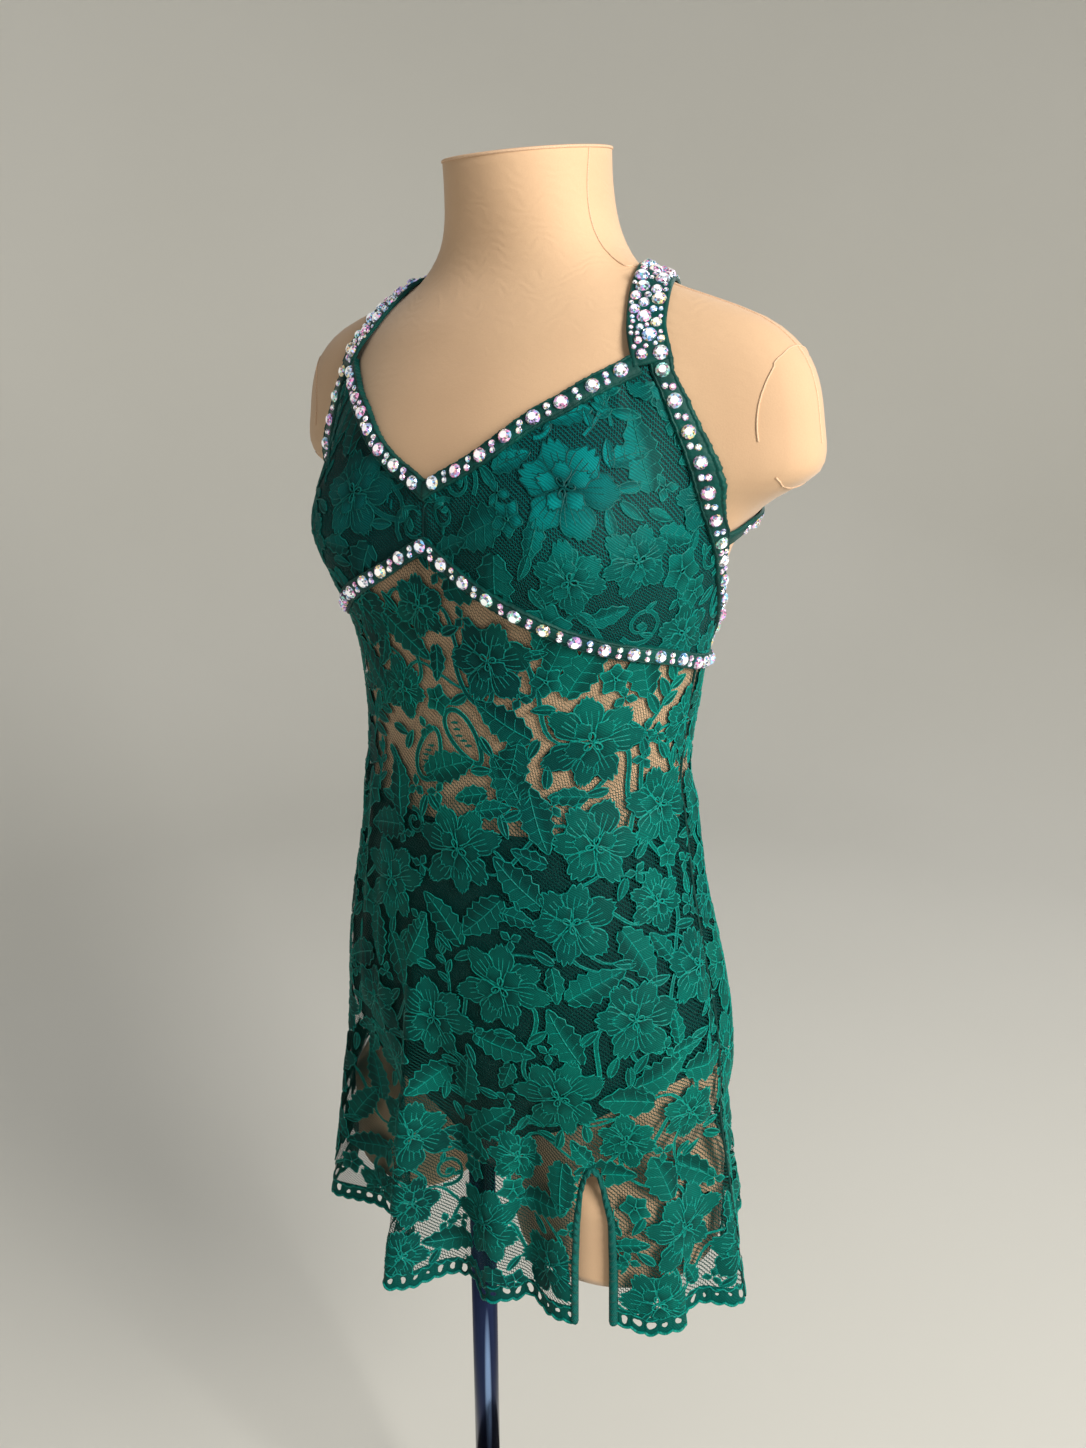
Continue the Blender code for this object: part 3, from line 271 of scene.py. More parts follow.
def through(rows, at):
    """Values on a cubic curve through a table's rows. The first column is the place."""
    rows = np.array(rows, float)
    key, last = rows[:, 0], len(rows) - 1
    before, after = np.maximum(np.arange(last + 1) - 1, 0), np.minimum(np.arange(last + 1) + 1, last)
    slope = (rows[after, 1:] - rows[before, 1:]) / (key[after] - key[before])[:, None]
    at = np.clip(at, key[0], key[-1])
    i = np.clip(np.searchsorted(key, at, side="right") - 1, 0, last - 1)
    span = (key[i + 1] - key[i])[..., None]
    t = (at - key[i])[..., None] / span
    low, high = rows[i, 1:], rows[i + 1, 1:]
    fall = 2 * t**3 - 3 * t**2 + 1
    return fall * low + (1 - fall) * high + ((t**3 - 2 * t**2 + t) * slope[i] + (t**3 - t**2) * slope[i + 1]) * span


def lengths_along(line):
    """Distance of each point of a line from its start."""
    return np.concatenate([[0], np.cumsum(np.linalg.norm(np.diff(line, axis=0), axis=1))])


def smoothed(values, times):
    """Evens out a row of values, whose ends stay, and which it changes in place."""
    for _ in range(times):
        values[1:-1] = (values[:-2] + values[1:-1] * 2 + values[2:]) / 4
    return values


def unit(vectors):
    """Directions of a length of 1."""
    return vectors / np.linalg.norm(vectors, axis=-1, keepdims=True)


def wrapped(degrees):
    """Angles between -180 and 180."""
    return (degrees + 180.0) % 360.0 - 180.0


def at_lengths(wanted, lengths, values):
    """Rows of values taken at other lengths along a line."""
    return np.stack([np.interp(wanted, lengths, values[:, c]) for c in range(values.shape[1])], 1)


def ease(x, low, high):
    """0 below low, 1 above high, and a smooth step between them."""
    t = np.clip((x - low) / (high - low), 0.0, 1.0)
    return t * t * (3 - 2 * t)


def oval(sine, cosine, half_width, front, back, power):
    """Distance from the middle of an oval to its edge."""
    depth = np.where(cosine > 0, front, back)
    return ((sine / half_width) ** power + (np.abs(cosine) / depth) ** power) ** (-1 / power)


def body_radius(degrees, z):
    """Distance from the upright axis to the form's surface."""
    degrees, z = np.broadcast_arrays(np.asarray(degrees, float), np.asarray(z, float))
    sine, cosine = np.abs(np.sin(np.radians(degrees))), np.cos(np.radians(degrees))
    torso = through(TORSO_ROWS, z)
    total = oval(sine, cosine, torso[..., 0], torso[..., 1], torso[..., 2], SECTION_POWER) ** BLEND_POWER
    cap = through(SHOULDER_ROWS, z)
    power = np.where(cosine > 0, *SHOULDER_POWERS)
    level = (z >= SHOULDER_ROWS[0][0]) & (z <= SHOULDER_ROWS[-1][0])
    total += np.where(level, oval(sine, cosine, cap[..., 0], cap[..., 1], cap[..., 2], power) ** BLEND_POWER, 0)
    inside = THIGH_RADIUS**2 - (THIGH_OUT * cosine) ** 2
    thigh = np.where(inside > 0, THIGH_OUT * sine + np.sqrt(np.maximum(inside, 0)), 0)
    thigh = thigh * (1 - 0.35 * ease(z, THIGH_TOP - 0.06, THIGH_TOP))
    total += np.where(z < THIGH_TOP, thigh**BLEND_POWER, 0)
    radius = total ** (1 / BLEND_POWER)
    turn = wrapped(degrees)
    for side in (-1, 1):
        across, up = (turn - side * BUST_ANGLE) / BUST_SPREAD[0], (z - BUST_HEIGHT) / BUST_SPREAD[1]
        radius = radius + BUST_DEPTH * np.exp(-across * across - up * up)
    return radius


def place(degrees, radius, z):
    angle = np.radians(degrees)
    return np.stack(np.broadcast_arrays(radius * np.sin(angle), -radius * np.cos(angle), z), -1)


def normals_of(radius_at, degrees, z):
    """Outward normals of a surface given by its radius."""
    turn, rise = 0.8, 0.002
    after, before = degrees + turn, degrees - turn
    across = place(after, radius_at(after, z), z) - place(before, radius_at(before, z), z)
    up = place(degrees, radius_at(degrees, z + rise), z + rise)
    up = up - place(degrees, radius_at(degrees, z - rise), z - rise)
    return unit(np.cross(across, up))


def on_surface(radius_at, degrees, z, lift=0.0):
    """Points of a surface, raised along its normal."""
    degrees, z = np.broadcast_arrays(np.asarray(degrees, float), np.asarray(z, float))
    lift = np.broadcast_to(lift, degrees.shape)[..., None]
    return place(degrees, radius_at(degrees, z), z) + normals_of(radius_at, degrees, z) * lift


def arch_height(x):
    """Height of the form's underside across the two thigh ends."""
    return FORM_BOTTOM + (CROTCH_HEIGHT - FORM_BOTTOM) * np.exp(-((x / CROTCH_SPREAD) ** 2))


def slanted(points):
    """The neck's rings, higher at the back."""
    share = np.maximum(0.0, (points[..., 2] - NECK_SLANT_FROM) / (FORM_TOP - NECK_SLANT_FROM))
    points[..., 2] += share * NECK_SLANT * points[..., 1] / 0.1
    return points


form_turns = np.arange(0, 360, RING_TURN)
edge = np.full(len(form_turns), FORM_BOTTOM)
for _ in range(8):
    edge = arch_height(body_radius(form_turns, edge) * np.sin(np.radians(form_turns)))
rings = [edge + (THIGH_TOP - edge) * k / 22 for k in range(23)]
rings += [np.full(len(form_turns), z) for z in np.linspace(THIGH_TOP, FORM_TOP - LID_EDGE, 112)[1:]]
rings = np.array(rings)
side_rings = slanted(place(form_turns, body_radius(form_turns, rings), rings))
under = []
for share in UNDER_RINGS:
    ring = side_rings[0].copy()
    ring[:, :2] *= share
    ring[:, 2] = arch_height(ring[:, 0])
    under.append(ring)
lid = []
for share, drop in LID_RINGS:
    ring = side_rings[-1].copy()
    middle = ring.mean(0)
    ring = middle + (ring - middle) * share
    ring[:, 2] += LID_EDGE - drop
    lid.append(ring)
form_points = np.concatenate([np.array(under), side_rings, np.array(lid)])

cover_looks = {"Roughness": 0.82, "Sheen_Weight": 0.22, "Sheen_Roughness": 0.45}
cover_finish, tree, shader = finish_of("peach_stretch_cloth", **cover_looks)
spots = object_spots(tree)
height_of = node(tree, "SeparateXYZ", {0: spots}).outputs[2]
knit = noise(tree, spots, 1100.0, 1.0)
creep = noise(tree, spots, 7.0, 3.0)
# Fine wrinkles run round the neck, where the cover is drawn tight
crumple = {"Vector": spots, "Scale": 48.0, "Distortion": 16.0, "Detail": 2.0, "Detail Scale": 0.9}
crumples = node(tree, "TexWave", crumple, bands_direction="Z").outputs[0]
at_neck = times(tree, between(tree, height_of, 1.15, 1.24, 0.10, 1.0), between(tree, creep, 0.35, 0.6, 0.2, 1.0))
wrinkles = times(tree, crumples, at_neck)
relief(shader, plus(tree, times(tree, wrinkles, 0.55), times(tree, knit, 0.35)), 0.30, 0.0006)
peach = blended(tree, between(tree, creep, 0.3, 0.7), (0.57, 0.368, 0.220, 1), (0.67, 0.450, 0.272, 1))
feed(shader, "Base Color", blended(tree, times(tree, knit, 0.20), peach, (0.42, 0.25, 0.15, 1)))
form_faces = grid_faces(len(form_points), len(form_turns), around=True)
form_points = form_points.reshape(-1, 3)
form = piece("form_cover", form_points, form_faces, [cover_finish], "form_cloth")
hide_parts("form_torso")
form_tree = BVHTree.FromPolygons([tuple(p) for p in form_points], form_faces.tolist())


def on_form(points):
    """The form's nearest places to some points, and its normals there."""
    hits = [form_tree.find_nearest(Vector(p)) for p in points]
    return np.array([h[0] for h in hits]), np.array([h[1] for h in hits])


def tube(line, normals, radius, sides=6, closed=False):
    """Points and faces of a round cord along a line, turned by the normals of what it lies on."""
    line, normals = np.asarray(line, float), np.asarray(normals, float)
    if closed:
        along = np.roll(line, -1, 0) - np.roll(line, 1, 0)
    else:
        along = np.gradient(line, axis=0)
    side = unit(np.cross(normals, along))
    turns = np.linspace(0, 2 * np.pi, sides, endpoint=False)
    radius = np.broadcast_to(radius, len(line))
    ring = [side * (np.cos(t) * radius)[:, None] + normals * (np.sin(t) * radius)[:, None] for t in turns]
    points = (line[:, None] + np.stack(ring, 1)).reshape(-1, 3)
    faces = grid_faces(len(line), sides, around=True)
    if closed:
        last = (len(line) - 1) * sides
        i = np.arange(sides)
        faces = np.vstack([faces, np.stack([last + i, last + (i + 1) % sides, (i + 1) % sides, i], 1)])
    return points, faces.tolist()


def gathered(parts):
    """Several (points, faces) as one."""
    points, faces, base = [], [], 0
    for some_points, some_faces in parts:
        points.append(np.asarray(some_points))
        faces += [[base + i for i in face] for face in np.asarray(some_faces).tolist()]
        base += len(some_points)
    return np.vstack(points), faces


SEAM_RADIUS = 0.0007
LID_SEAM_RADIUS = 0.0010
CAP_SEAM_RADIUS = 0.0006
# The seam down the side of the neck: height, and distance forwards of the side line
NECK_SEAM = [(1.3030, 0.006), (1.280, 0.010), (1.262, 0.010), (1.248, 0.008), (1.238, 0.006)]
# The same seam along the shoulder's ridge: x, y, z
RIDGE_SEAM = [
    (0.075, -0.001, 1.236), (0.105, 0.0, 1.226), (0.13, 0.002, 1.219), (0.152, 0.003, 1.211),
    (0.17, 0.004, 1.2), (0.183, 0.005, 1.185), (0.189, 0.006, 1.165), (0.1925, 0.006, 1.145),
]


def seam_line(line, radius=SEAM_RADIUS, sides=5):
    """A narrow seam laid on the form along points near its surface."""
    ground, normals = on_form(line)
    return tube(ground + normals * radius * 0.1, normals, radius, sides)


seams = []
lid_edge = side_rings[-1].copy()
lid_edge[:, 2] += 0.0008
lid_out = unit(lid_edge - lid_edge.mean(0))
seams.append(tube(lid_edge - lid_out * 0.0002, lid_out, LID_SEAM_RADIUS, 6, closed=True))
for side in (-1, 1):
    line = []
    for z, forward in NECK_SEAM:
        turn = side * (90 - math.degrees(math.asin(forward / 0.05)) * 0.8)
        line.append(slanted(place(turn, body_radius(turn, z), z)))
    line = np.array(line + [(side * x, y, z) for x, y, z in RIDGE_SEAM])
    fine = np.linspace(0, len(line) - 1, 90)
    line = at_lengths(fine, np.arange(len(line)), line)
    seams.append(seam_line(smoothed(line, 6)))
    # Round the shoulder cap's outer rim
    turns = np.linspace(-118, 200, 70)
    rim_line = np.stack([np.full(70, side * 0.178), 0.009 + 0.050 * np.cos(np.radians(turns)),
                         1.160 + 0.036 * np.sin(np.radians(turns))], 1)
    seams.append(seam_line(rim_line, CAP_SEAM_RADIUS))
seam_points, seam_faces = gathered(seams)
thread_finish, tree, shader = finish_of("peach_overlock_thread", Base_Color=(0.66, 0.43, 0.27, 1), Roughness=0.7)
spots = object_spots(tree)
twist = noise(tree, spots, 1500.0, 1.0)
feed(shader, "Base Color", blended(tree, twist, (0.52, 0.32, 0.19, 1), (0.80, 0.56, 0.38, 1)))
relief(shader, twist, 0.6, 0.0004)
piece("form_seams", seam_points, seam_faces, [thread_finish], "form_cloth")

# The briefs are sewn in under the lace: front, back and a narrow gusset in dark teal stretch cloth, with a rolled
# elastic edge round the waist and each leg. They make the lace look dark from the waist to the top of the legs.
SIDE_SEAM = 92.0
BRIEF_TOP = 0.908
BRIEF_LIFT = 0.0005
BRIEF_THICK = 0.0008
GUSSET_HALF_WIDTH = 0.0055
# The rolled elastic's lift and radius
LEG_ELASTIC = (0.0011, 0.0011)
WAIST_ELASTIC = (0.0012, 0.0013)
# Lower edge round the leg: angle from the front, height
LEG_ROWS = [
    (0, 0.6185), (7, 0.6215), (13, 0.648), (22, 0.67), (36, 0.686), (51, 0.708), (62, 0.729), (76, 0.743),
    (92, 0.746), (106, 0.736), (122, 0.716), (138, 0.693), (152, 0.67), (165, 0.643), (174, 0.6225),
    (180, 0.6185),
]


def walled(rows, columns):
    """Faces of an outer and an inner grid, joined round their edge."""
    faces = grid_faces(rows, columns)
    count = rows * columns
    ids = np.arange(count).reshape(rows, columns)
    rim_ids = np.concatenate([ids[0, :-1], ids[:-1, -1], ids[-1, :0:-1], ids[:0:-1, 0]])
    following = np.roll(rim_ids, -1)
    rim_faces = np.stack([following, rim_ids, rim_ids + count, following + count], 1)
    return np.vstack([faces, faces[:, ::-1] + count, rim_faces])


def thin_sheet(name, outer, inner, finish, slot, inside_out=False):
    """A closed thin piece of cloth from the grids of its two faces."""
    faces = walled(*outer.shape[:2])
    points = np.concatenate([outer.reshape(-1, 3), inner.reshape(-1, 3)])
    return piece(name, points, faces[:, ::-1] if inside_out else faces, [finish], slot)


def shell(name, degrees, z, lift, thick, radius_at, finish, slot):
    """A closed thin piece of cloth over a grid of angles and heights."""
    inner = on_surface(radius_at, degrees, z, lift)
    return thin_sheet(name, on_surface(radius_at, degrees, z, lift + thick), inner, finish, slot)


def new_group(name, inputs, outputs):
    """A shader node group with its sockets, each given as a name and a kind, and its two end nodes."""
    group = bpy.data.node_groups.new(name, "ShaderNodeTree")
    for way, sockets in (("INPUT", inputs), ("OUTPUT", outputs)):
        for label, kind in sockets.items():
            group.interface.new_socket(label, in_out=way, socket_type="NodeSocket" + kind)
    return group, group.nodes.new("NodeGroupInput"), group.nodes.new("NodeGroupOutput")


def placed_group(tree, group, **values):
    """A group set in a finish with the finish's own values."""
    used = tree.nodes.new("ShaderNodeGroup")
    used.node_tree = group
    for label, value in values.items():
        used.inputs[label.replace("_", " ")].default_value = value
    return used


def weave_group():
    """Fine crossed threads: a height, and a colour that is darker between the threads."""
    inputs = {"Thread": "Color", "Gap": "Color", "Count": "Float"}
    group, given, result = new_group("fine_weave", inputs, {"Colour": "Color", "Height": "Float"})
    spots = object_spots(group)
    axes = node(group, "SeparateXYZ", {0: spots}).outputs
    level = times(group, axes[2], given.outputs["Count"])
    sideways = plus(group, axes[0], times(group, axes[1], 0.8))
    upright = times(group, sideways, given.outputs["Count"])
    crossed = times(group, maths(group, "SINE", level), maths(group, "SINE", upright))
    uneven = noise(group, spots, 60.0, 3.0)
    height = plus(group, times(group, crossed, 0.5), 0.5)
    share = plus(group, times(group, height, 0.6), times(group, uneven, 0.5))
    colour = blended(group, share, given.outputs["Gap"], given.outputs["Thread"])
    group.links.new(colour, result.inputs["Colour"])
    group.links.new(height, result.inputs["Height"])
    return group


WEAVE = weave_group()


def woven_finish(name, thread, gap, count, roughness, sheen):
    """A woven or knitted cloth with its own two colours."""
    looks = {"Roughness": roughness, "Sheen_Weight": sheen, "Sheen_Roughness": 0.4, "Specular_IOR_Level": 0.14}
    made, tree, shader = finish_of(name, **looks)
    weave = placed_group(tree, WEAVE, Thread=thread, Gap=gap, Count=count)
    feed(shader, "Base Color", weave.outputs["Colour"])
    relief(shader, weave.outputs["Height"], 0.35, 0.0003)
    return made


teal_gap = (0.0004, 0.012, 0.012, 1)
brief_finish = woven_finish("teal_stretch_cloth", (0.001, 0.042, 0.042, 1), teal_gap, 5200.0, 0.55, 0.05)
elastic_finish = woven_finish("rolled_elastic", (0.001, 0.038, 0.038, 1), teal_gap, 9000.0, 0.5, 0.05)


def rolled_edge(degrees, z, radius_at, lift, radius, sides=6):
    """A round cord laid along a line of angles and heights."""
    centre = on_surface(radius_at, degrees, z, lift)
    return tube(centre, normals_of(radius_at, np.asarray(degrees, float), np.asarray(z, float)), radius, sides)


for name, first, last in (("front", -SIDE_SEAM, SIDE_SEAM), ("back", SIDE_SEAM, 360 - SIDE_SEAM)):
    turns = np.linspace(first + 0.15, last - 0.15, 91)
    low = through(LEG_ROWS, 180.0 - np.abs((turns % 360.0) - 180.0))[..., 0]
    share = np.linspace(0, 1, 40)[:, None]
    z = low + (BRIEF_TOP - low) * share
    turns = np.broadcast_to(turns, z.shape)
    brief = shell("briefs_" + name, turns, z, BRIEF_LIFT, BRIEF_THICK, body_radius, brief_finish, "brief_cloth")
    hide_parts("brief_" + name)
    elastics = ((0, LEG_ELASTIC), (-1, WAIST_ELASTIC))
    edges = [rolled_edge(turns[0], z[row], body_radius, *sizes) for row, sizes in elastics]
    elastic = piece("briefs_elastic_" + name, *gathered(edges), [elastic_finish], "brief_cloth")
rows = 40
y = np.linspace(-body_radius(0, CROTCH_HEIGHT) + 0.002, body_radius(180, CROTCH_HEIGHT) - 0.002, rows)
x = np.linspace(GUSSET_HALF_WIDTH, -GUSSET_HALF_WIDTH, 7)
gusset = np.array([[(a, b, arch_height(a) - 0.0006) for a in x] for b in y])
made = thin_sheet("briefs_gusset", gusset - (0, 0, BRIEF_THICK), gusset, brief_finish, "brief_cloth")
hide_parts("brief_gusset")

# The skirt is two flared panels of stretch lace, front and back, joined at the side seams and hanging free from the
# waist in soft folds. The ground is a fine twisted net that the form and the briefs show through.
LACE_LIFT = 0.0009
BRIEF_ROOM = 0.0015
WAIST_HEIGHT = 0.930
HEM_HEIGHT = 0.555
FOLD_START = 0.880
SCALLOPS_PER_HALF = 15
SCALLOP_DEPTH = 0.0035
SEAM_HALF_GAP = 0.0006
PLAIN_HEM = (0.158, 0.104, 0.146)
NET_LIFT = 0.0007
# Under-bust line: angle from the front, height
BAND_ROWS = [
    (0, 1.0855), (7, 1.0795), (15, 1.071), (24, 1.0622), (36, 1.051), (48, 1.04), (60, 1.0315), (76, 1.024),
    (92, 1.014), (112, 1.008), (140, 1.003), (180, 1.0000),
]
# The hem's folds: angle, distance from the upright axis at each crest and valley
HEM_ROWS = [
    (-180, 0.152), (-166, 0.137), (-152, 0.16), (-137, 0.14), (-121, 0.168), (-105, 0.148), (-88, 0.172),
    (-72, 0.146), (-55, 0.158), (-46, 0.116), (-32, 0.096), (-20, 0.112), (-11, 0.141), (-4, 0.116),
    (5, 0.094), (13, 0.097), (22, 0.112), (31, 0.104), (38, 0.103), (47, 0.127), (60, 0.138), (68, 0.158),
    (75, 0.169), (80, 0.156), (84, 0.162), (89, 0.184), (97, 0.176), (108, 0.146), (122, 0.166), (136, 0.14),
    (150, 0.161), (165, 0.136), (180, 0.152),
]
# Soft creases pressed into the hanging lace: angle at the top and at the foot, top, foot, half width in degrees, rise
CREASES = [
    (-62, -60, 1.005, 0.76, 3.2, 0.0016), (-54, -51, 0.99, 0.7, 2.6, 0.0024),
    (-44, -43, 0.96, 0.72, 3.0, 0.002), (-33, -27, 0.905, 0.64, 3.4, 0.0022),
    (-13, -11, 0.85, 0.6, 4.0, 0.0016), (17, 9, 0.8, 0.59, 3.4, 0.0022), (33, 24, 0.77, 0.575, 3.0, 0.0026),
    (62, 40, 0.8, 0.585, 3.2, 0.002), (78, 66, 0.86, 0.65, 3.6, 0.0018), (88, 83, 0.93, 0.64, 2.8, 0.0026),
    (101, 100, 0.96, 0.7, 3.2, 0.0022), (118, 123, 0.9, 0.64, 4.2, 0.0024),
    (146, 150, 0.905, 0.65, 4.4, 0.0026), (173, 176, 0.89, 0.64, 4.6, 0.002),
    (203, 199, 0.905, 0.66, 4.0, 0.0024), (231, 236, 0.895, 0.65, 4.4, 0.0026),
    (258, 262, 0.93, 0.69, 3.4, 0.0022), (283, 281, 0.96, 0.72, 2.8, 0.0024),
]


def band_height(degrees):
    """Height of the line where the bodice meets the skirt."""
    return through(BAND_ROWS, np.abs(wrapped(np.asarray(degrees, float))))[..., 0]


def skirt_radius(degrees, z):
    """Distance from the upright axis to the hanging lace, without its small creases."""
    degrees, z = np.broadcast_arrays(np.asarray(degrees, float), np.asarray(z, float))
    over_brief = BRIEF_ROOM * ease(-z, -(BRIEF_TOP + 0.030), -(BRIEF_TOP + 0.004))
    snug = body_radius(degrees, z) + LACE_LIFT + over_brief
    drop = np.maximum(0.0, (WAIST_HEIGHT - z) / (WAIST_HEIGHT - HEM_HEIGHT))
    angle = np.radians(degrees)
    waist = body_radius(degrees, np.full(degrees.shape, WAIST_HEIGHT)) + LACE_LIFT
    plain = oval(np.abs(np.sin(angle)), np.cos(angle), *PLAIN_HEM, 2.2)
    fold = through(HEM_ROWS, wrapped(degrees))[..., 0] - plain
    depth = np.maximum(0.0, (FOLD_START - z) / (FOLD_START - HEM_HEIGHT)) ** 1.2
    hang = waist + (plain - waist) * drop**0.85 + fold * depth
    sharp = 400.0
    loose = np.log1p(np.exp(np.clip((hang - snug) * sharp, -60.0, 60.0))) / sharp
    return snug + loose * ease(WAIST_HEIGHT - z, 0.0, 0.018)


def lace_surface(degrees, z):
    """The skirt's surface with its creases."""
    degrees, z = np.broadcast_arrays(np.asarray(degrees, float), np.asarray(z, float))
    radius = skirt_radius(degrees, z)
    for top_turn, foot_turn, top, foot, half_width, rise in CREASES:
        down = np.clip((top - z) / (top - foot), 0.0, 1.0)
        middle = top_turn + (foot_turn - top_turn) * down
        away = wrapped(degrees - middle) / half_width
        shown = ease(down, 0.0, 0.35) * (1 - ease(down, 0.75, 1.0))
        radius = radius + rise * shown * np.exp(-away * away)
    return radius


def hem_height(degrees):
    """Height of the scalloped hem."""
    turn = (np.asarray(degrees, float) + SIDE_SEAM) % 360.0
    front = turn <= 2 * SIDE_SEAM
    share = np.where(front, turn / (2 * SIDE_SEAM), (turn - 2 * SIDE_SEAM) / (360.0 - 2 * SIDE_SEAM))
    return HEM_HEIGHT + SCALLOP_DEPTH * np.abs(np.sin(np.pi * SCALLOPS_PER_HALF * share))


def hem_turns(first, last, count):
    """Angles that split the folded hem into equal lengths."""
    fine = np.linspace(first, last, 1441)
    line = place(fine, lace_surface(fine, HEM_HEIGHT), HEM_HEIGHT)
    runs = lengths_along(line)
    return np.interp(np.linspace(0, runs[-1], count + 1), runs, fine)


# The slit is an arch cut out of the front panel over the wearer's left thigh
SLIT_ANGLE = 55.4
SLIT_WIDTH = 0.024
SLIT_TOP = 0.679
slit_scale = math.degrees(1 / float(lace_surface(SLIT_ANGLE, HEM_HEIGHT + 0.05)))
SLIT_SHAPE = [(-1.0, 0.0), (-0.97, 0.40), (-0.86, 0.68), (-0.62, 0.88), (-0.33, 0.97), (0.0, 1.0)]
SLIT_SHAPE += [(-across, up) for across, up in SLIT_SHAPE[-2::-1]]


def slit_edge(grow, count):
    """The arch as angles and heights, from its front foot up and over."""
    shape = np.array(SLIT_SHAPE)
    shape = shape * (SLIT_WIDTH / 2 + grow, SLIT_TOP + grow - HEM_HEIGHT)
    runs = lengths_along(shape)
    want = np.linspace(0, runs[-1], count)
    x, up = at_lengths(want, runs, shape).T
    return SLIT_ANGLE + x * slit_scale, HEM_HEIGHT + up


def in_slit(degrees, z, grow=0.0):
    """True inside the arch."""
    x = np.abs(degrees - SLIT_ANGLE) / slit_scale / (SLIT_WIDTH / 2 + grow)
    up = (z - HEM_HEIGHT) / (SLIT_TOP + grow - HEM_HEIGHT)
    half = np.array(SLIT_SHAPE[5:])
    return (up < 1) & (x < np.interp(np.clip(up, 0, 1), half[::-1, 1], half[::-1, 0]))


def net_group():
    """A twisted net: where its threads are, and how far they stand out. It reads a flat place on the cloth."""
    group, given, result = new_group("twisted_net", {"Mesh Size": "Float"}, {"Threads": "Float"})
    flat = node(group, "Attribute", attribute_name="cloth_place").outputs["Vector"]
    waver = node(group, "TexNoise", {"Vector": flat, "Scale": 55.0, "Detail": 2.0}).outputs["Color"]
    shift = node(group, "VectorMath", {0: waver, 3: 0.0022}, operation="SCALE").outputs[0]
    flat = node(group, "VectorMath", {0: flat, 1: shift}, operation="ADD").outputs[0]
    across = measured_along(group, flat, (0.574, 0.819, 0.0))
    along = measured_along(group, flat, (0.819, -0.574, 0.0))
    turn = maths(group, "DIVIDE", 2 * math.pi, given.outputs["Mesh Size"])
    waves = maths(group, "SINE", times(group, times(group, along, turn), 0.86))
    phase = plus(group, times(group, across, turn), times(group, waves, 0.75))
    rows_of_thread = maths(group, "SINE", phase)
    ties = maths(group, "SINE", plus(group, times(group, along, turn), phase))
    level = node(group, "SeparateXYZ", {0: flat}).outputs[1]
    # The net is stretched open over the ribs
    stretched = times(group, between(group, level, 0.92, 0.96, 0.0, 0.30), between(group, level, 1.09, 1.07))
    main = between(group, maths(group, "SUBTRACT", rows_of_thread, stretched), 0.30, 0.75)
    cross = between(group, ties, 0.74, 0.97, 0.0, 0.9)
    group.links.new(maths(group, "MAXIMUM", main, cross), result.inputs["Threads"])
    return group


NET = net_group()


def silk_group():
    """The lace's dye, lighter in random patches, with painted light: lighter towards the window and teal up the bodice.
    """
    dyes = {"Deep": "Color", "Emerald": "Color", "Teal": "Color"}
    group, given, result = new_group("emerald_silk_with_painted_light", dyes, {"Colour": "Color"})
    spots = object_spots(group)
    drift_and_painted_light = noise(group, spots, 11.0, 3.0)
    other = node(group, "Mapping", {0: spots, 1: (0.7, 0.3, 0.2)}).outputs[0]
    blue = noise(group, other, 8.0, 2.0)
    parted = node(group, "SeparateXYZ", {0: spots})
    # Painted light: the silk is lighter on the wearer's left, the side towards the window light
    drift_and_painted_light = plus(group, drift_and_painted_light, between(group, parted.outputs[0], 0.05, 0.15, 0.0, 0.24))
    height = parted.outputs[2]
    # Painted sheen: more teal towards the top of the bodice, and a painted teal highlight round a spot on the left bust
    upper = between(group, height, 1.08, 1.17, 0.0, 0.30)
    bust = node(group, "VectorMath", {0: spots, 1: (0.085, -0.085, 1.137)}, operation="DISTANCE").outputs["Value"]
    painted_highlight_spot = between(group, bust, 0.060, 0.022, 0.0, 1.0)
    share = times(group, between(group, blue, 0.42, 0.60), plus(group, upper, 0.18))
    share = maths(group, "MAXIMUM", share, times(group, painted_highlight_spot, between(group, blue, 0.3, 0.5, 0.45, 1.0)))
    green = blended(group, between(group, drift_and_painted_light, 0.35, 0.62), given.outputs["Deep"], given.outputs["Emerald"])
    group.links.new(blended(group, share, green, given.outputs["Teal"]), result.inputs["Colour"])
    return group


SILK_WITH_PAINTED_LIGHT = silk_group()


def silk_with_painted_light(tree, deep, emerald, teal):
    """The lace's dye and its painted light, with a finish's own three colours."""
    return placed_group(tree, SILK_WITH_PAINTED_LIGHT, Deep=deep, Emerald=emerald, Teal=teal).outputs["Colour"]


def net_finish(name, size, deep, emerald, teal):
    """The see-through ground of the lace."""
    made, tree, shader = finish_of(name, Roughness=0.6, Specular_IOR_Level=0.06)
    net = placed_group(tree, NET, Mesh_Size=size)
    feed(shader, "Alpha", net.outputs["Threads"])
    relief(shader, net.outputs["Threads"], 0.3, 0.0002)
    feed(shader, "Base Color", silk_with_painted_light(tree, deep, emerald, teal))
    return made


MESH_SIZE = 0.0023
net_dyes = (0.0004, 0.026, 0.0216, 1), (0.0008, 0.042, 0.0356, 1), (0.0006, 0.042, 0.042, 1)
skirt_net_finish = net_finish("skirt_net", MESH_SIZE, *net_dyes)
# How fine the tables of a chart are: degrees round the body, metres up it, and metres across the flat cloth
CHART_TURN = 0.6
CHART_RISE = 0.004
CHART_REACH = 0.001


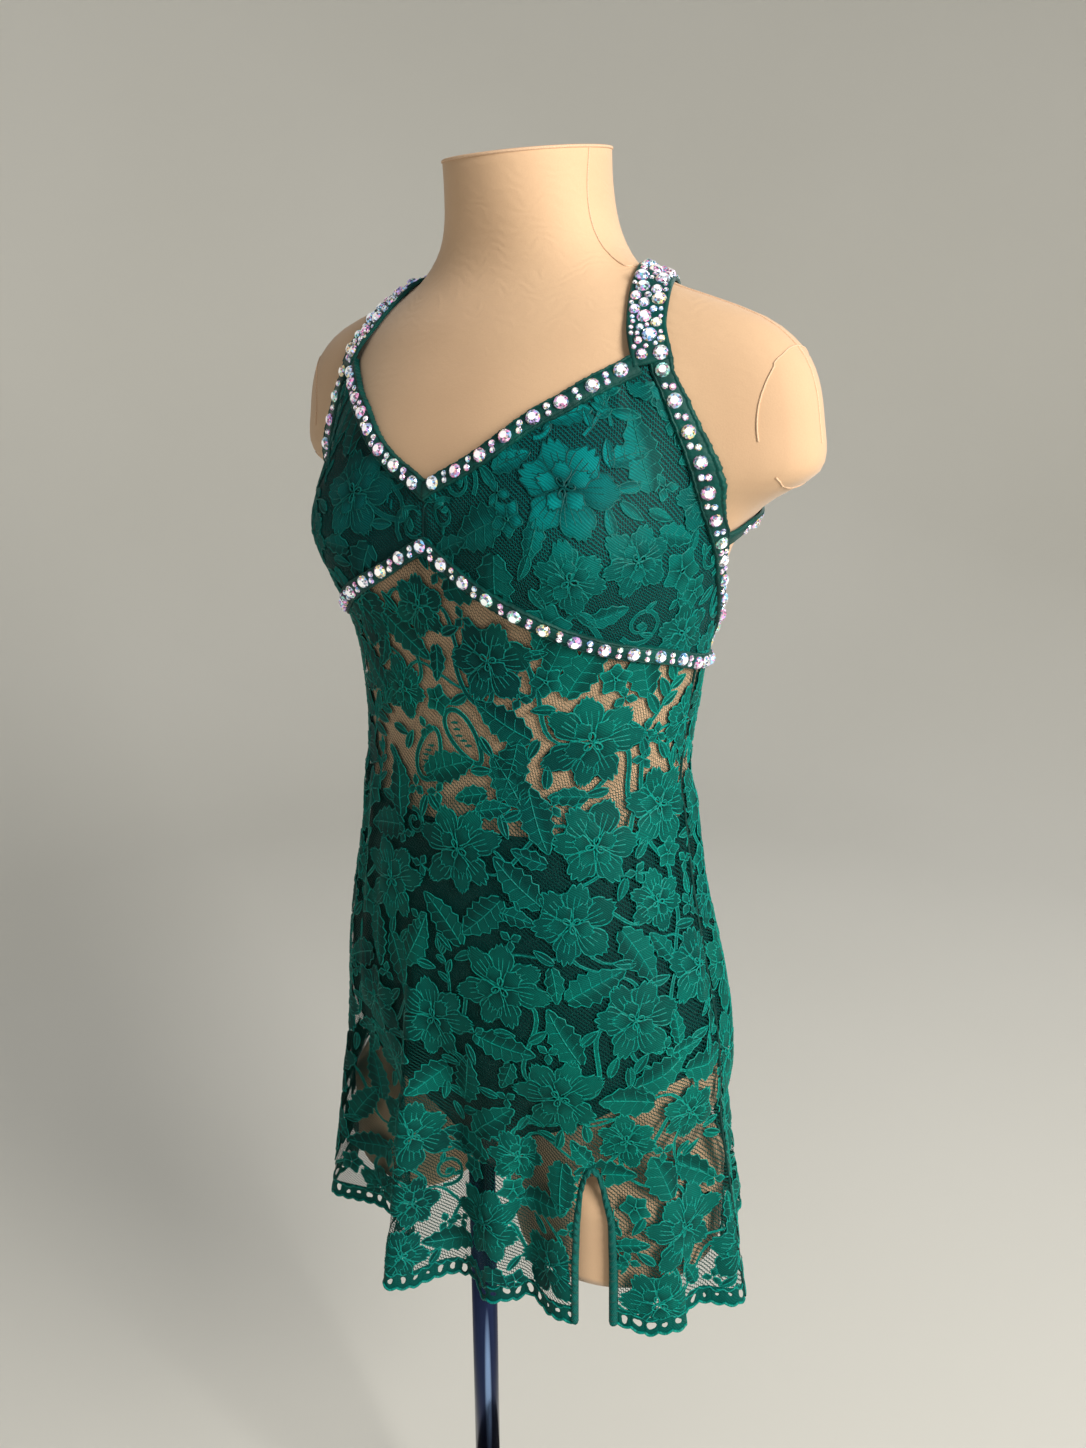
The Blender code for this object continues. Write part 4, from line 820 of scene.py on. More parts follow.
def unrolled(radius_at, first, last, low, high):
    """Tables for laying flat drawings on a surface: distances round it by angle, and angles by distance."""
    turns = np.arange(first, last + CHART_TURN, CHART_TURN)
    heights = np.arange(low, high + CHART_RISE, CHART_RISE)
    turn_grid, height_grid = np.meshgrid(turns, heights)
    ring = place(turn_grid, radius_at(turn_grid, height_grid), height_grid)
    steps = np.linalg.norm(np.diff(ring, axis=1), axis=2)
    runs = np.concatenate([np.zeros((len(heights), 1)), np.cumsum(steps, axis=1)], axis=1)
    marks = np.arange(0, runs.max(), CHART_REACH)
    angles = np.array([np.interp(marks, row, turns) for row in runs])
    return {"first": first, "low": low, "runs": runs, "angles": angles, "radius_at": radius_at}


def looked_up(table, row, column):
    """Values between the entries of a table."""
    row = np.clip(row, 0, table.shape[0] - 1.001)
    column = np.clip(column, 0, table.shape[1] - 1.001)
    j, i = row.astype(int), column.astype(int)
    v, u = row - j, column - i
    low = table[j, i] * (1 - u) + table[j, i + 1] * u
    high = table[j + 1, i] * (1 - u) + table[j + 1, i + 1] * u
    return low * (1 - v) + high * v


def distance_round(chart, degrees, z):
    """How far round the surface an angle is at a height."""
    row = (np.asarray(z, float) - chart["low"]) / CHART_RISE
    return looked_up(chart["runs"], row, (np.asarray(degrees, float) - chart["first"]) / CHART_TURN)


def angle_at(chart, degrees, z, x):
    """The angle that lies a distance across the cloth from another."""
    row = (np.asarray(z, float) - chart["low"]) / CHART_RISE
    return looked_up(chart["angles"], row, (distance_round(chart, degrees, z) + x) / CHART_REACH)


def give_place(made, chart, degrees, z, middle=0.0):
    """Notes on each point where it is on the flat cloth, for the net and the weave to follow."""
    noted = made.data.attributes.new("cloth_place", "FLOAT_VECTOR", "POINT")
    across = distance_round(chart, degrees, z) - distance_round(chart, np.full(len(z), middle), z)
    flat = np.stack([across, z, np.zeros(len(z))], 1)
    noted.data.foreach_set("vector", flat.astype(np.float32).ravel())


def only_used(faces, count):
    """The points that faces use, out of a number of them, and the faces numbered anew by those points."""
    used = np.unique(faces)
    order = np.zeros(count, int)
    order[used] = np.arange(len(used))
    return used, order[faces]


SKIRT_HALVES = {"front": (-SIDE_SEAM, SIDE_SEAM), "back": (SIDE_SEAM, 360.0 - SIDE_SEAM)}
BACK_TOP_RISE = 0.0045
BORDER_HEIGHT = 0.0125
skirt_chart = unrolled(lace_surface, -100.0, 280.0, 0.548, 1.10)
for name, (first, last) in SKIRT_HALVES.items():
    columns, rows = 190, 120
    folded = hem_turns(first, last, columns)
    even = np.linspace(first, last, columns + 1)
    share = np.linspace(0, 1, rows)[:, None] ** 0.95
    turns = folded + (even - folded) * ease(share, 0.25, 0.85)
    low = hem_height(folded) + BORDER_HEIGHT - 0.002
    rise = BACK_TOP_RISE * ease(180.0 - np.abs((even % 360.0) - 180.0), 119.0, 126.0)
    high = band_height(even) - SEAM_HALF_GAP + rise
    z = low + (high - low) * share
    turns = np.broadcast_to(turns, z.shape).copy()
    faces = grid_faces(rows, columns + 1)
    if name == "front":
        inside = in_slit(turns, z).ravel()
        arch_turns, arch_z = slit_edge(0.0, 400)
        flat_turns, flat_z = turns.ravel(), z.ravel()
        for i in np.nonzero(inside)[0]:
            away = np.hypot((arch_turns - flat_turns[i]) / slit_scale, arch_z - flat_z[i])
            if away.min() < 0.0042:
                flat_turns[i], flat_z[i] = arch_turns[away.argmin()], arch_z[away.argmin()]
                inside[i] = False
        turns, z = flat_turns.reshape(z.shape), flat_z.reshape(z.shape)
        faces = faces[~inside[faces].any(1)]
    points = on_surface(lace_surface, turns, z, NET_LIFT).reshape(-1, 3)
    used, faces = only_used(faces, len(points))
    net = piece("skirt_net_" + name, points[used], faces, [skirt_net_finish], "lace")
    give_place(net, skirt_chart, turns.ravel()[used], z.ravel()[used], (first + last) / 2)
    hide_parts("skirt_" + name)

# The lace's pattern is woven thick on the net: open blossoms, serrated leaves, sprays, oval scrolls and curls, each
# outlined by a raised cord and filled with close threads. Stems run between the blossoms under the other motifs.
FILL, CORD = 0, 1
CORD_WIDTH = 0.0010
CORD_RISE = 0.0005
VEIN_WIDTH = 0.0006
VEIN_RISE = 0.00022
MIDRIB_WIDTH = 0.0008
MIDRIB_RISE = 0.0006
STEM_WIDTH = 0.0022
STEM_CORD_WIDTH = 0.0009
SET_IN = 0.0001


def sideways(line, closed):
    """Directions across a flat line."""
    along = (np.roll(line, -1, 0) - np.roll(line, 1, 0)) if closed else np.gradient(line, axis=0)
    side = np.stack([-along[:, 1], along[:, 0]], 1)
    return side / np.maximum(np.linalg.norm(side, axis=1, keepdims=True), 1e-9)


def ridge(line, width, rise, base=0.0, closed=False, ink=CORD, tone=1.0):
    """A raised thread along a flat line: x, y, height and tone of each point."""
    line = np.asarray(line, float)
    count = len(line)
    side = sideways(line, closed)
    half = (np.broadcast_to(width, count) / 2)[:, None]
    base = np.broadcast_to(base, count)
    flat = [line - side * half, line, line + side * half]
    level = [base, base + rise, base]
    points = np.concatenate([np.column_stack([f, h, np.full(count, tone)]) for f, h in zip(flat, level)])
    i = np.arange(count if closed else count - 1)
    n = (i + 1) % count
    faces = np.concatenate([np.stack([i, n, count + n, count + i], 1),
                            np.stack([count + i, count + n, 2 * count + n, 2 * count + i], 1)])
    return points, faces, np.full(len(faces), ink)


def drawn(parts):
    """Several drawings as one."""
    base, points, faces, inks = 0, [], [], []
    for some_points, some_faces, some_inks in parts:
        points.append(some_points)
        faces.append(some_faces + base)
        inks.append(some_inks)
        base += len(some_points)
    return np.concatenate(points), np.concatenate(faces), np.concatenate(inks)


def moved(drawing, x=0.0, y=0.0, turn=0.0, size=1.0, mirror=False):
    """A drawing turned by degrees anticlockwise, then moved."""
    points, faces, inks = drawing
    points = points.copy()
    points[:, :2] *= size
    if mirror:
        points[:, 0] *= -1
        faces = faces[:, ::-1]
    c, s = math.cos(math.radians(turn)), math.sin(math.radians(turn))
    points[:, :2] = points[:, :2] @ np.array([[c, s], [-s, c]]) + (x, y)
    return points, faces, inks


def petal(length, width, lobes=3, base=0.0, dome=0.0004, columns=13, fine=True, tone=1.0):
    """A fan-shaped petal with a ruffled tip, its foot at the origin."""
    s = np.array([0, 0.16, 0.34, 0.52, 0.70, 0.86, 1.0] if fine else [0, 0.35, 0.70, 1.0])[:, None]
    t = np.linspace(-1, 1, columns)[None, :]
    widening, narrowing = 0.12 + 0.88 * np.sin(np.pi / 2 * s / 0.72), 1 - 0.34 * ((s - 0.72) / 0.28) ** 2
    half = width / 2 * np.where(s < 0.72, widening, narrowing)
    tip = s**3 * (-0.22 * t * t + 0.17 * np.abs(np.cos(np.pi * lobes * t / 2)))
    x, y = half * t, length * (s + tip)
    h = base + 0.0002 + dome * (1 - t * t) * np.sin(np.pi * (0.12 + 0.76 * s))
    # Painted shade: darker at the petal's foot and towards its sides, over the petal's own tone
    painted_shade = tone * (0.30 + 0.70 * np.clip(s * 1.5, 0, 1)) * (1 - 0.3 * np.abs(t) ** 3)
    surface = np.stack([x, y, np.broadcast_to(h, x.shape), np.broadcast_to(painted_shade, x.shape)], -1)
    faces = grid_faces(len(s), columns)
    parts = [(surface.reshape(-1, 4), faces, np.full(len(faces), FILL))]
    border = np.concatenate([surface[:-1, 0], surface[-1], surface[-2::-1, -1]])
    parts.append(ridge(border[:, :2], CORD_WIDTH, CORD_RISE, border[:, 2] - SET_IN))
    for column in ((2, 5, 7, 10) if fine else ()):
        vein = surface[1:-2, column]
        parts.append(ridge(vein[:, :2], VEIN_WIDTH, VEIN_RISE, vein[:, 2]))
    return drawn(parts)


def loop_line(length, width, count=18):
    """A closed drop-shaped line, pointed at the origin."""
    turns = np.linspace(0, 2 * np.pi, count, endpoint=False)
    y = length * (0.5 - 0.5 * np.cos(turns))
    return np.stack([width / 2 * np.sin(turns) * (0.62 + 0.38 * (y / length)), y], 1)


def blossom(radius, petals, seed):
    """An open flower with two rows of petals and looped stamens."""
    pick = random.Random(seed)
    parts = []
    for k in range(petals):
        reach = radius * pick.uniform(0.66, 0.86)
        wide, lobes = radius * pick.uniform(0.78, 0.98) * 4.5 / petals, pick.choice((3, 3, 4, 5))
        one = petal(reach, wide, lobes, (k % 2) * 0.0002, tone=pick.uniform(0.62, 1.0))
        parts.append(moved(moved(one, y=radius * 0.14), turn=360 / petals * k + pick.uniform(-9, 9)))
    start = pick.uniform(0, 72)
    for k in range(5):
        reach, wide = radius * pick.uniform(0.34, 0.46), radius * pick.uniform(0.34, 0.42)
        one = petal(reach, wide, 3, 0.0005, columns=7, fine=False, tone=pick.uniform(0.7, 1.0))
        parts.append(moved(moved(one, y=radius * 0.10), turn=72 * k + start + pick.uniform(-12, 12)))
    for k in range(3):
        ring = ridge(loop_line(radius * 0.20, radius * 0.15, 10), 0.0010, 0.0005, 0.0011, closed=True)
        parts.append(moved(moved(ring, y=radius * 0.02), turn=120 * k + pick.uniform(-20, 20)))
    return drawn(parts)


def leaf(length, width, teeth=5, bend=0.12, cords=True):
    """A serrated leaf with a midrib and side veins, its foot at the origin."""
    steps = 2 * teeth + 1
    s = np.linspace(0, 1, steps)[:, None]
    t = np.array([-1, -0.5, 0, 0.5, 1.0])[None, :]
    half = width / 2 * np.sin(np.pi * np.clip(s, 0.02, 0.985) ** 0.8) ** 0.75
    saw = np.where(np.arange(steps) % 2 == 0, 0.82, 1.10)[:, None] if teeth > 3 else np.ones((steps, 1))
    x = half * t * np.where(np.abs(t) == 1, saw, 1.0) + bend * length * s * s
    y = length * (s - 0.03 * np.abs(t) * saw)
    h = 0.00025 + 0.0004 * (1 - t * t) * np.sin(np.pi * np.clip(s, 0.1, 0.9)) - 0.0004 * (t == 0) * (s > 0.05)
    # Painted shade: the half of the leaf beyond the midrib is darker
    painted_shade = 0.95 - 0.5 * np.clip(t * 2, 0, 1)
    surface = np.stack(np.broadcast_arrays(x, y, h, painted_shade), -1)
    faces = grid_faces(steps, 5)
    parts = [(surface.reshape(-1, 4), faces, np.full(len(faces), FILL))]
    border = np.concatenate([surface[:, 0], surface[-1::-1, -1]])
    parts.append(ridge(border[:, :2], CORD_WIDTH * 0.9, CORD_RISE, border[:, 2] - SET_IN))
    parts.append(ridge(surface[:-1, 2, :2], MIDRIB_WIDTH, MIDRIB_RISE, surface[:-1, 2, 2]))
    if cords:
        for row in range(2, steps - 2, 2):
            for column in (0, 4):
                inner, outer = surface[row - 1, 2], surface[row, column] * 0.85 + surface[row, 2] * 0.15
                line = np.array([inner, inner * 0.5 + outer * 0.5 + (0, 0.0004, 0, 0), outer])
                parts.append(ridge(line[:, :2], 0.0005, 0.00026, line[:, 2] + 0.0002))
    return drawn(parts)


def tape(line, width, closed=False):
    """A narrow woven band with a cord along each side."""
    line = np.asarray(line, float)
    width = np.broadcast_to(width, len(line))
    shift = sideways(line, closed) * (width / 2)[:, None]
    cords = [ridge(line + shift * sign, 0.0007, 0.0004, 0.0001, closed) for sign in (1, -1)]
    return drawn([ridge(line, width, 0.00035, 0.0001, closed, FILL, 0.8)] + cords)


def spray(count, length, seed):
    """Narrow leaves in pairs along a curved stem."""
    pick = random.Random(seed)
    s = np.linspace(0, 1, 9)
    stem = np.stack([0.16 * length * np.sin(s * 2.4), length * s], 1)
    parts = [tape(stem, np.linspace(0.0018, 0.0008, 9))]
    for k in range(count):
        at = 0.22 + 0.70 * k / (count - 1)
        foot = np.array([np.interp(at, s, stem[:, c]) for c in (0, 1)])
        side = (-1, 1)[k % 2]
        one = leaf(length * pick.uniform(0.34, 0.44) * (1.1 - 0.4 * at), length * 0.17, 3, 0.10 * side, cords=False)
        parts.append(moved(one, *foot, turn=-side * pick.uniform(32, 48)))
    parts.append(moved(leaf(length * 0.34, length * 0.16, 3, 0.0, cords=False), *stem[-1], turn=-12))
    return drawn(parts)


def oval_scroll(length, width):
    """A drop-shaped scroll with open net inside and a row of short dashes."""
    parts = [tape(loop_line(length, width, 26), 0.0028, closed=True)]
    for k in range(5):
        y = length * (0.34 + 0.11 * k)
        x = width * (0.10 - 0.05 * abs(k - 2))
        dash = np.array([(x - 0.0022, y - 0.0016), (x, y), (x + 0.0026, y + 0.0010)])
        parts.append(ridge(dash, np.array([0.0012, 0.0020, 0.0010]), 0.0004, 0.0001, ink=FILL))
    return drawn(parts)


def curl(radius, turns):
    """A spiral stem that ends in a bud, with two small leaves on its outside."""
    s = np.linspace(0, 1, 20)
    angle = s * turns * 2 * np.pi
    reach = radius * (1 - 0.74 * s)
    line = np.stack([reach * np.sin(angle), radius - reach * np.cos(angle)], 1)
    parts = [tape(line, 0.0026 - 0.0014 * s)]
    parts.append(moved(petal(radius * 0.42, radius * 0.36, 1, 0.0002, columns=7, fine=False), *line[-1], turn=140))
    for k in (4, 9):
        one = leaf(radius * 0.62, radius * 0.26, 3, 0.08, cords=False)
        parts.append(moved(one, *line[k], turn=-math.degrees(angle[k]) - 120))
    return drawn(parts)


def floret(radius, petals, seed):
    """A small flower with one row of round petals."""
    pick = random.Random(seed)
    parts = []
    for k in range(petals):
        reach = radius * pick.uniform(0.80, 0.90)
        one = petal(reach, radius * 0.86 * 5 / petals, 1, (k % 2) * 0.0003, columns=7, fine=False)
        parts.append(moved(moved(one, y=radius * 0.13), turn=360 / petals * k))
    eye = loop_line(radius * 0.3, radius * 0.26, 8) - (0, radius * 0.15)
    parts.append(ridge(eye, 0.0008, 0.0005, 0.001, closed=True))
    return drawn(parts)


def buds(seed):
    """Three small buds in a cluster."""
    pick = random.Random(seed)
    one = petal(0.0062, 0.0052, 1, 0.0, columns=5, fine=False)
    return drawn([moved(moved(one, y=0.0006), turn=120 * k + pick.uniform(-15, 15)) for k in range(3)])


# Each motif with the discs that it covers on the cloth: x, y, radius
MOTIFS = {
    "rose": (blossom(0.0310, 7, 3), [(0, 0, 0.0285)]),
    "open_rose": (blossom(0.0275, 6, 8), [(0, 0, 0.0250)]),
    "small_rose": (blossom(0.0215, 6, 5), [(0, 0, 0.0195)]),
    "leaf": (leaf(0.042, 0.021, 6), [(0.001, 0.012, 0.009), (0.003, 0.027, 0.009)]),
    "wide_leaf": (leaf(0.036, 0.024, 5, -0.1), [(-0.001, 0.017, 0.013)]),
    "short_leaf": (leaf(0.024, 0.012, 4, 0.1), [(0.001, 0.012, 0.0075)]),
    "spray": (spray(6, 0.040, 2), [(0.003, 0.012, 0.011), (0.004, 0.030, 0.012)]),
    "short_spray": (spray(4, 0.028, 4), [(0.003, 0.016, 0.012)]),
    "scroll": (oval_scroll(0.038, 0.023), [(0, 0.022, 0.014)]),
    "curl": (curl(0.013, 1.35), [(0, 0.013, 0.014)]),
    "small_curl": (curl(0.009, 1.2), [(0, 0.009, 0.010)]),
    "floret": (floret(0.0125, 5, 1), [(0, 0, 0.0110)]),
    "small_floret": (floret(0.0090, 5, 2), [(0, 0, 0.0078)]),
    "narrow_leaf": (leaf(0.015, 0.0062, 3, 0.12, cords=False), [(0.0005, 0.0075, 0.0042)]),
    "buds": (buds(3), [(0, 0, 0.0048)]),
}


def spots_of(chart, kind, degrees, z, turn):
    """Middles and radii of the discs that motifs of a kind would cover, as points of the surface."""
    discs = np.array(MOTIFS[kind][1])
    degrees, z, turn = (np.asarray(v, float)[..., None] for v in (degrees, z, turn))
    c, s = np.cos(np.radians(turn)), np.sin(np.radians(turn))
    x, y = discs[:, 0] * c - discs[:, 1] * s, discs[:, 0] * s + discs[:, 1] * c
    heights = z + y
    turns = angle_at(chart, np.broadcast_to(degrees, heights.shape), heights, x)
    return place(turns, chart["radius_at"](turns, heights), heights), discs[:, 2]


def laid_out(chart, placed, fillers, within, seed, spacing):
    """The whole layout: the listed motifs, then smaller and smaller ones in the room that is left."""
    pick = np.random.default_rng(seed)
    layout, taken = [], 0
    middles, radii = np.zeros((9000, 3)), np.zeros(9000)
    for kind, degrees, z, turn in placed:
        spots, reach = spots_of(chart, kind, degrees, z, turn)
        middles[taken:taken + len(reach)], radii[taken:taken + len(reach)] = spots, reach
        taken += len(reach)
        layout.append((kind, degrees, z, turn, False))
    for kind, tries, first, last, low, high in fillers:
        degrees, z = pick.uniform(first, last, tries), pick.uniform(low, high, tries)
        inside = within(degrees, z)
        degrees, z = degrees[inside], z[inside]
        turns = pick.uniform(0, 360, len(z))[:, None] + np.arange(4) * 90.0
        flips = pick.random(len(z)) < 0.5
        all_spots, reach = spots_of(chart, kind, degrees[:, None] + 0 * turns, z[:, None] + 0 * turns, turns)
        for i in range(len(z)):
            for k in range(4 if len(reach) > 1 else 1):
                spots = all_spots[i, k]
                away = ((middles[:taken, None] - spots[None]) ** 2).sum(2)
                if (away < ((radii[:taken, None] + reach[None]) * spacing) ** 2).any():
                    continue
                middles[taken:taken + len(reach)], radii[taken:taken + len(reach)] = spots, reach
                taken += len(reach)
                layout.append((kind, degrees[i], z[i], turns[i, k], bool(flips[i])))
                break
    return layout


def pressed(chart, layout, stems, allowed, lift):
    """Points, faces and inks of a layout laid on the cloth, with what falls outside the panel cut away."""
    points, faces, inks, places, base = [], [], [], [], 0
    drawings = [(MOTIFS[kind][0], d, z, turn, mirror, 0.0) for kind, d, z, turn, mirror in layout]
    drawings += [(drawing, d, z, 0.0, False, -0.0001) for drawing, d, z in stems]
    for drawing, degrees, z, turn, mirror, drop in drawings:
        flat, some_faces, some_inks = moved(drawing, turn=turn, mirror=mirror)
        heights = z + flat[:, 1]
        turns = angle_at(chart, np.full(len(flat), degrees), heights, flat[:, 0])
        places.append(np.stack([turns, heights, flat[:, 2] + drop, flat[:, 3]], 1))
        faces.append(some_faces + base)
        inks.append(some_inks)
        base += len(flat)
    places, faces, inks = np.concatenate(places), np.concatenate(faces), np.concatenate(inks)
    kept = allowed(places[:, 0], places[:, 1])[faces].all(1)
    used, faces = only_used(faces[kept], len(places))
    places = places[used]
    points = on_surface(chart["radius_at"], places[:, 0], places[:, 1], lift + places[:, 2])
    return points, faces, inks[kept], places


def give_tone(made, tones):
    """Notes on each point how light the silk is there: its own tone with painted shade."""
    noted = made.data.attributes.new("silk_tone_and_painted_shade", "FLOAT", "POINT")
    noted.data.foreach_set("value", np.asarray(tones, np.float32))


def stems_between(chart, layout, kinds, reach):
    """Curved stems from each large motif to its nearest others, as drawings with the place that they start from."""
    big = [motif[1:3] for motif in layout if motif[0] in kinds]
    spots = np.array([place(d, chart["radius_at"](d, z), z) for d, z in big]).reshape(-1, 3)
    stems, done = [], set()
    for i, (degrees, z) in enumerate(big):
        away = np.linalg.norm(spots - spots[i], axis=1)
        for j in np.argsort(away)[1:4]:
            if away[j] > reach or (min(i, j), max(i, j)) in done:
                continue
            done.add((min(i, j), max(i, j)))
            x = float(distance_round(chart, *big[j]) - distance_round(chart, degrees, big[j][1]))
            y = big[j][1] - z
            t = np.linspace(0, 1, 16)[:, None]
            bow = np.array([-y, x]) * 0.22 * (1 if (i + j) % 2 else -1)
            line = np.array([x, y]) * t + bow * np.sin(np.pi * 2 * t) * 0.8
            cords = [ridge(line + (off, 0), STEM_CORD_WIDTH, 0.0004) for off in (0.0012, -0.0012)]
            stems.append((drawn(cords + [ridge(line, STEM_WIDTH, 0.0002, ink=FILL)]), degrees, z))
    return stems


def thread_group():
    """Close silk threads that fill a motif: their ridges, seen along the flat cloth."""
    group, given, result = new_group("close_threads", {"Width": "Float"}, {"Height": "Float"})
    flat = node(group, "Attribute", attribute_name="cloth_place").outputs["Vector"]
    bent = noise(group, flat, 38.0, 1.0)
    across = measured_along(group, flat, (0.5, 0.866, 0.0))
    across = plus(group, across, times(group, bent, 0.010))
    turn = maths(group, "DIVIDE", 2 * math.pi, given.outputs["Width"])
    line = maths(group, "SINE", times(group, across, turn))
    group.links.new(between(group, line, -0.6, 0.8), result.inputs["Height"])
    return group


THREADS = thread_group()
THREAD_PITCH = 0.0012


def motif_finish(name, deep, emerald, teal, gap):
    """Silk fill of a motif, darker between its threads, and darker by each point's tone and painted shade."""
    made, tree, shader = finish_of(name, Roughness=0.55, Specular_IOR_Level=0.06)
    threads = placed_group(tree, THREADS, Width=THREAD_PITCH)
    colour = silk_with_painted_light(tree, deep, emerald, teal)
    spots = object_spots(tree)
    mottle = noise(tree, spots, 190.0, 2.0)
    share = times(tree, threads.outputs["Height"], between(tree, mottle, 0.30, 0.62, 0.45, 1.0))
    dark = blended(tree, gap, (0.0005, 0.012, 0.0114, 1), colour)
    # The tone's painted shade darkens the fill towards near-black green
    tone = node(tree, "Attribute", attribute_name="silk_tone_and_painted_shade").outputs["Fac"]
    threaded = blended(tree, share, dark, colour)
    painted_shade_and_tone = between(tree, tone, 0.2, 1.0, 0.1, 1.0)
    feed(shader, "Base Color", blended(tree, painted_shade_and_tone, (0.0002, 0.016, 0.0152, 1), threaded))
    relief(shader, threads.outputs["Height"], 0.35, 0.0003)
    return made


def cord_finish(name, deep, emerald, teal):
    """The twisted outline cord, lighter than the fill."""
    made, tree, shader = finish_of(name, Roughness=0.45, Specular_IOR_Level=0.12)
    spots = object_spots(tree)
    twist = noise(tree, spots, 700.0, 1.0)
    colour = silk_with_painted_light(tree, deep, emerald, teal)
    share = between(tree, twist, 0.35, 0.6, 0.35, 1.0)
    feed(shader, "Base Color", blended(tree, share, (0.001, 0.045, 0.0406, 1), colour))
    relief(shader, twist, 0.5, 0.0003)
    return made


# The dye's deep, emerald and teal colours in each of them; the teal is partly dye and partly painted sheen
fill_dyes = (0.0002, 0.042, 0.0394, 1), (0.0003, 0.135, 0.1041, 1), (0.0003, 0.1, 0.1, 1)
cord_dyes = (0.0006, 0.17, 0.1422, 1), (0.001, 0.26, 0.2032, 1), (0.001, 0.23, 0.23, 1)
skirt_fill = motif_finish("skirt_motif_silk", *fill_dyes, 0.62)
skirt_cord = cord_finish("skirt_outline_cord", *cord_dyes)

# Motifs placed one by one where they show most on the front: kind, angle, height, turn
FRONT_MOTIFS = [
    ("rose", 57, 0.9725, 10), ("open_rose", 23, 1.02, 40), ("small_rose", -20, 0.992, 15),
    ("rose", 9, 0.895, 30), ("rose", -60, 0.935, 0), ("open_rose", 80, 0.925, 20),
    ("open_rose", 50, 0.856, 50), ("small_rose", 76, 0.865, 5), ("rose", -27, 0.856, 25),
    ("rose", 27, 0.808, 0), ("open_rose", 66, 0.792, 35), ("rose", -2, 0.77, 15), ("rose", 46, 0.735, 40),
    ("open_rose", -36, 0.758, 0), ("small_rose", 80, 0.718, 60), ("open_rose", -8, 0.678, 5),
    ("rose", 78, 0.63, 30), ("small_rose", 32, 0.678, 20), ("rose", 20, 0.62, 45),
    ("open_rose", -32, 0.65, 10), ("rose", -62, 0.67, 35), ("open_rose", -68, 0.82, 15),
    ("leaf", -9, 0.938, -60), ("wide_leaf", 34, 0.93, 25), ("scroll", 38, 1.0000, 35),
    ("scroll", 10, 1.025, -150), ("scroll", -3, 0.97, 160), ("leaf", 33, 0.97, 170),
    ("spray", 74, 0.98, -20),
]
ROSES = ("rose", "open_rose", "small_rose")
FILLER_ORDER = [
    ("open_rose", 90), ("small_rose", 110), ("leaf", 260), ("spray", 170), ("scroll", 260),
    ("wide_leaf", 200), ("curl", 320), ("short_spray", 300), ("floret", 360), ("short_leaf", 620),
    ("small_curl", 560), ("small_floret", 520), ("narrow_leaf", 1100), ("buds", 700),
]


def in_skirt(first, last, over=0.0):
    """A test of whether places are on a skirt panel, or within a distance of it."""
    more = math.degrees(over / 0.13)

    def test(degrees, z):
        level = (z > hem_height(degrees) + BORDER_HEIGHT - 0.002 - over) & (z < band_height(degrees) - 0.001 + over)
        return level & (degrees > first - more) & (degrees < last + more) & ~in_slit(degrees, z, 0.001 - over)

    return test


MOTIF_LIFT = NET_LIFT + 0.0004
for name, (first, last) in SKIRT_HALVES.items():
    placed = FRONT_MOTIFS if name == "front" else []
    fillers = [(kind, tries, first - 3, last + 3, HEM_HEIGHT + 0.012, 1.088) for kind, tries in FILLER_ORDER]
    if name == "back":
        fillers.insert(0, ("rose", 160, first - 3, last + 3, HEM_HEIGHT + 0.03, 1.0))
    layout = laid_out(skirt_chart, placed, fillers, in_skirt(first, last, 0.006), 11 + len(name), 0.96)
    stems = stems_between(skirt_chart, layout, ROSES, 0.13)
    points, faces, inks, places = pressed(skirt_chart, layout, stems, in_skirt(first, last), MOTIF_LIFT)
    made = piece("skirt_motifs_" + name, points, faces, [skirt_fill, skirt_cord], "lace", inks)
    give_place(made, skirt_chart, places[:, 0], places[:, 1], (first + last) / 2)
    give_tone(made, places[:, 3])

# The hem is a narrow worked border: scallops edged with a round cord, a row of small uneven eyelets whose rims are
# wrapped in thread, and a fine cord along the top where it meets the net. It is part of the same lace.
CELLS_PER_HALF = 60
SCALLOP_RIPPLE = 0.0019
EYELET_SIZES = (0.0011, 0.0016, 0.0022, 0.0027)
EYELET_RIM = 0.0009
EYELET_HEIGHT = 0.0060
SCALLOP_CORD_RADIUS = 0.0010
TOP_CORD_RADIUS = 0.0006
HEM_MEASURED_AT = 0.566
hem_dyes = (0.0002, 0.04, 0.0356, 1), (0.0004, 0.11, 0.0889, 1), (0.0003, 0.085, 0.085, 1)
hem_fill = motif_finish("hem_border_silk", *hem_dyes, 0.6)
slit_dyes = (0.001, 0.135, 0.1143, 1), (0.0004, 0.028, 0.0254, 1)
slit_silk = woven_finish("slit_binding_cloth", *slit_dyes, 3600.0, 0.6, 0.05)


def hem_spots(marks, turns, x, y):
    """Angles and heights of spots of the border: x counts cells along the hem and y is metres above its edge."""
    degrees = np.interp(x, marks, turns)
    ripple = SCALLOP_RIPPLE * np.abs(np.sin(np.pi * x)) * np.clip(1 - y / 0.006, 0, 1)
    return degrees, hem_height(degrees) + y + 0.0004 - ripple


def outside_slit(degrees, grow):
    return np.abs(degrees - SLIT_ANGLE) / slit_scale > SLIT_WIDTH / 2 + grow


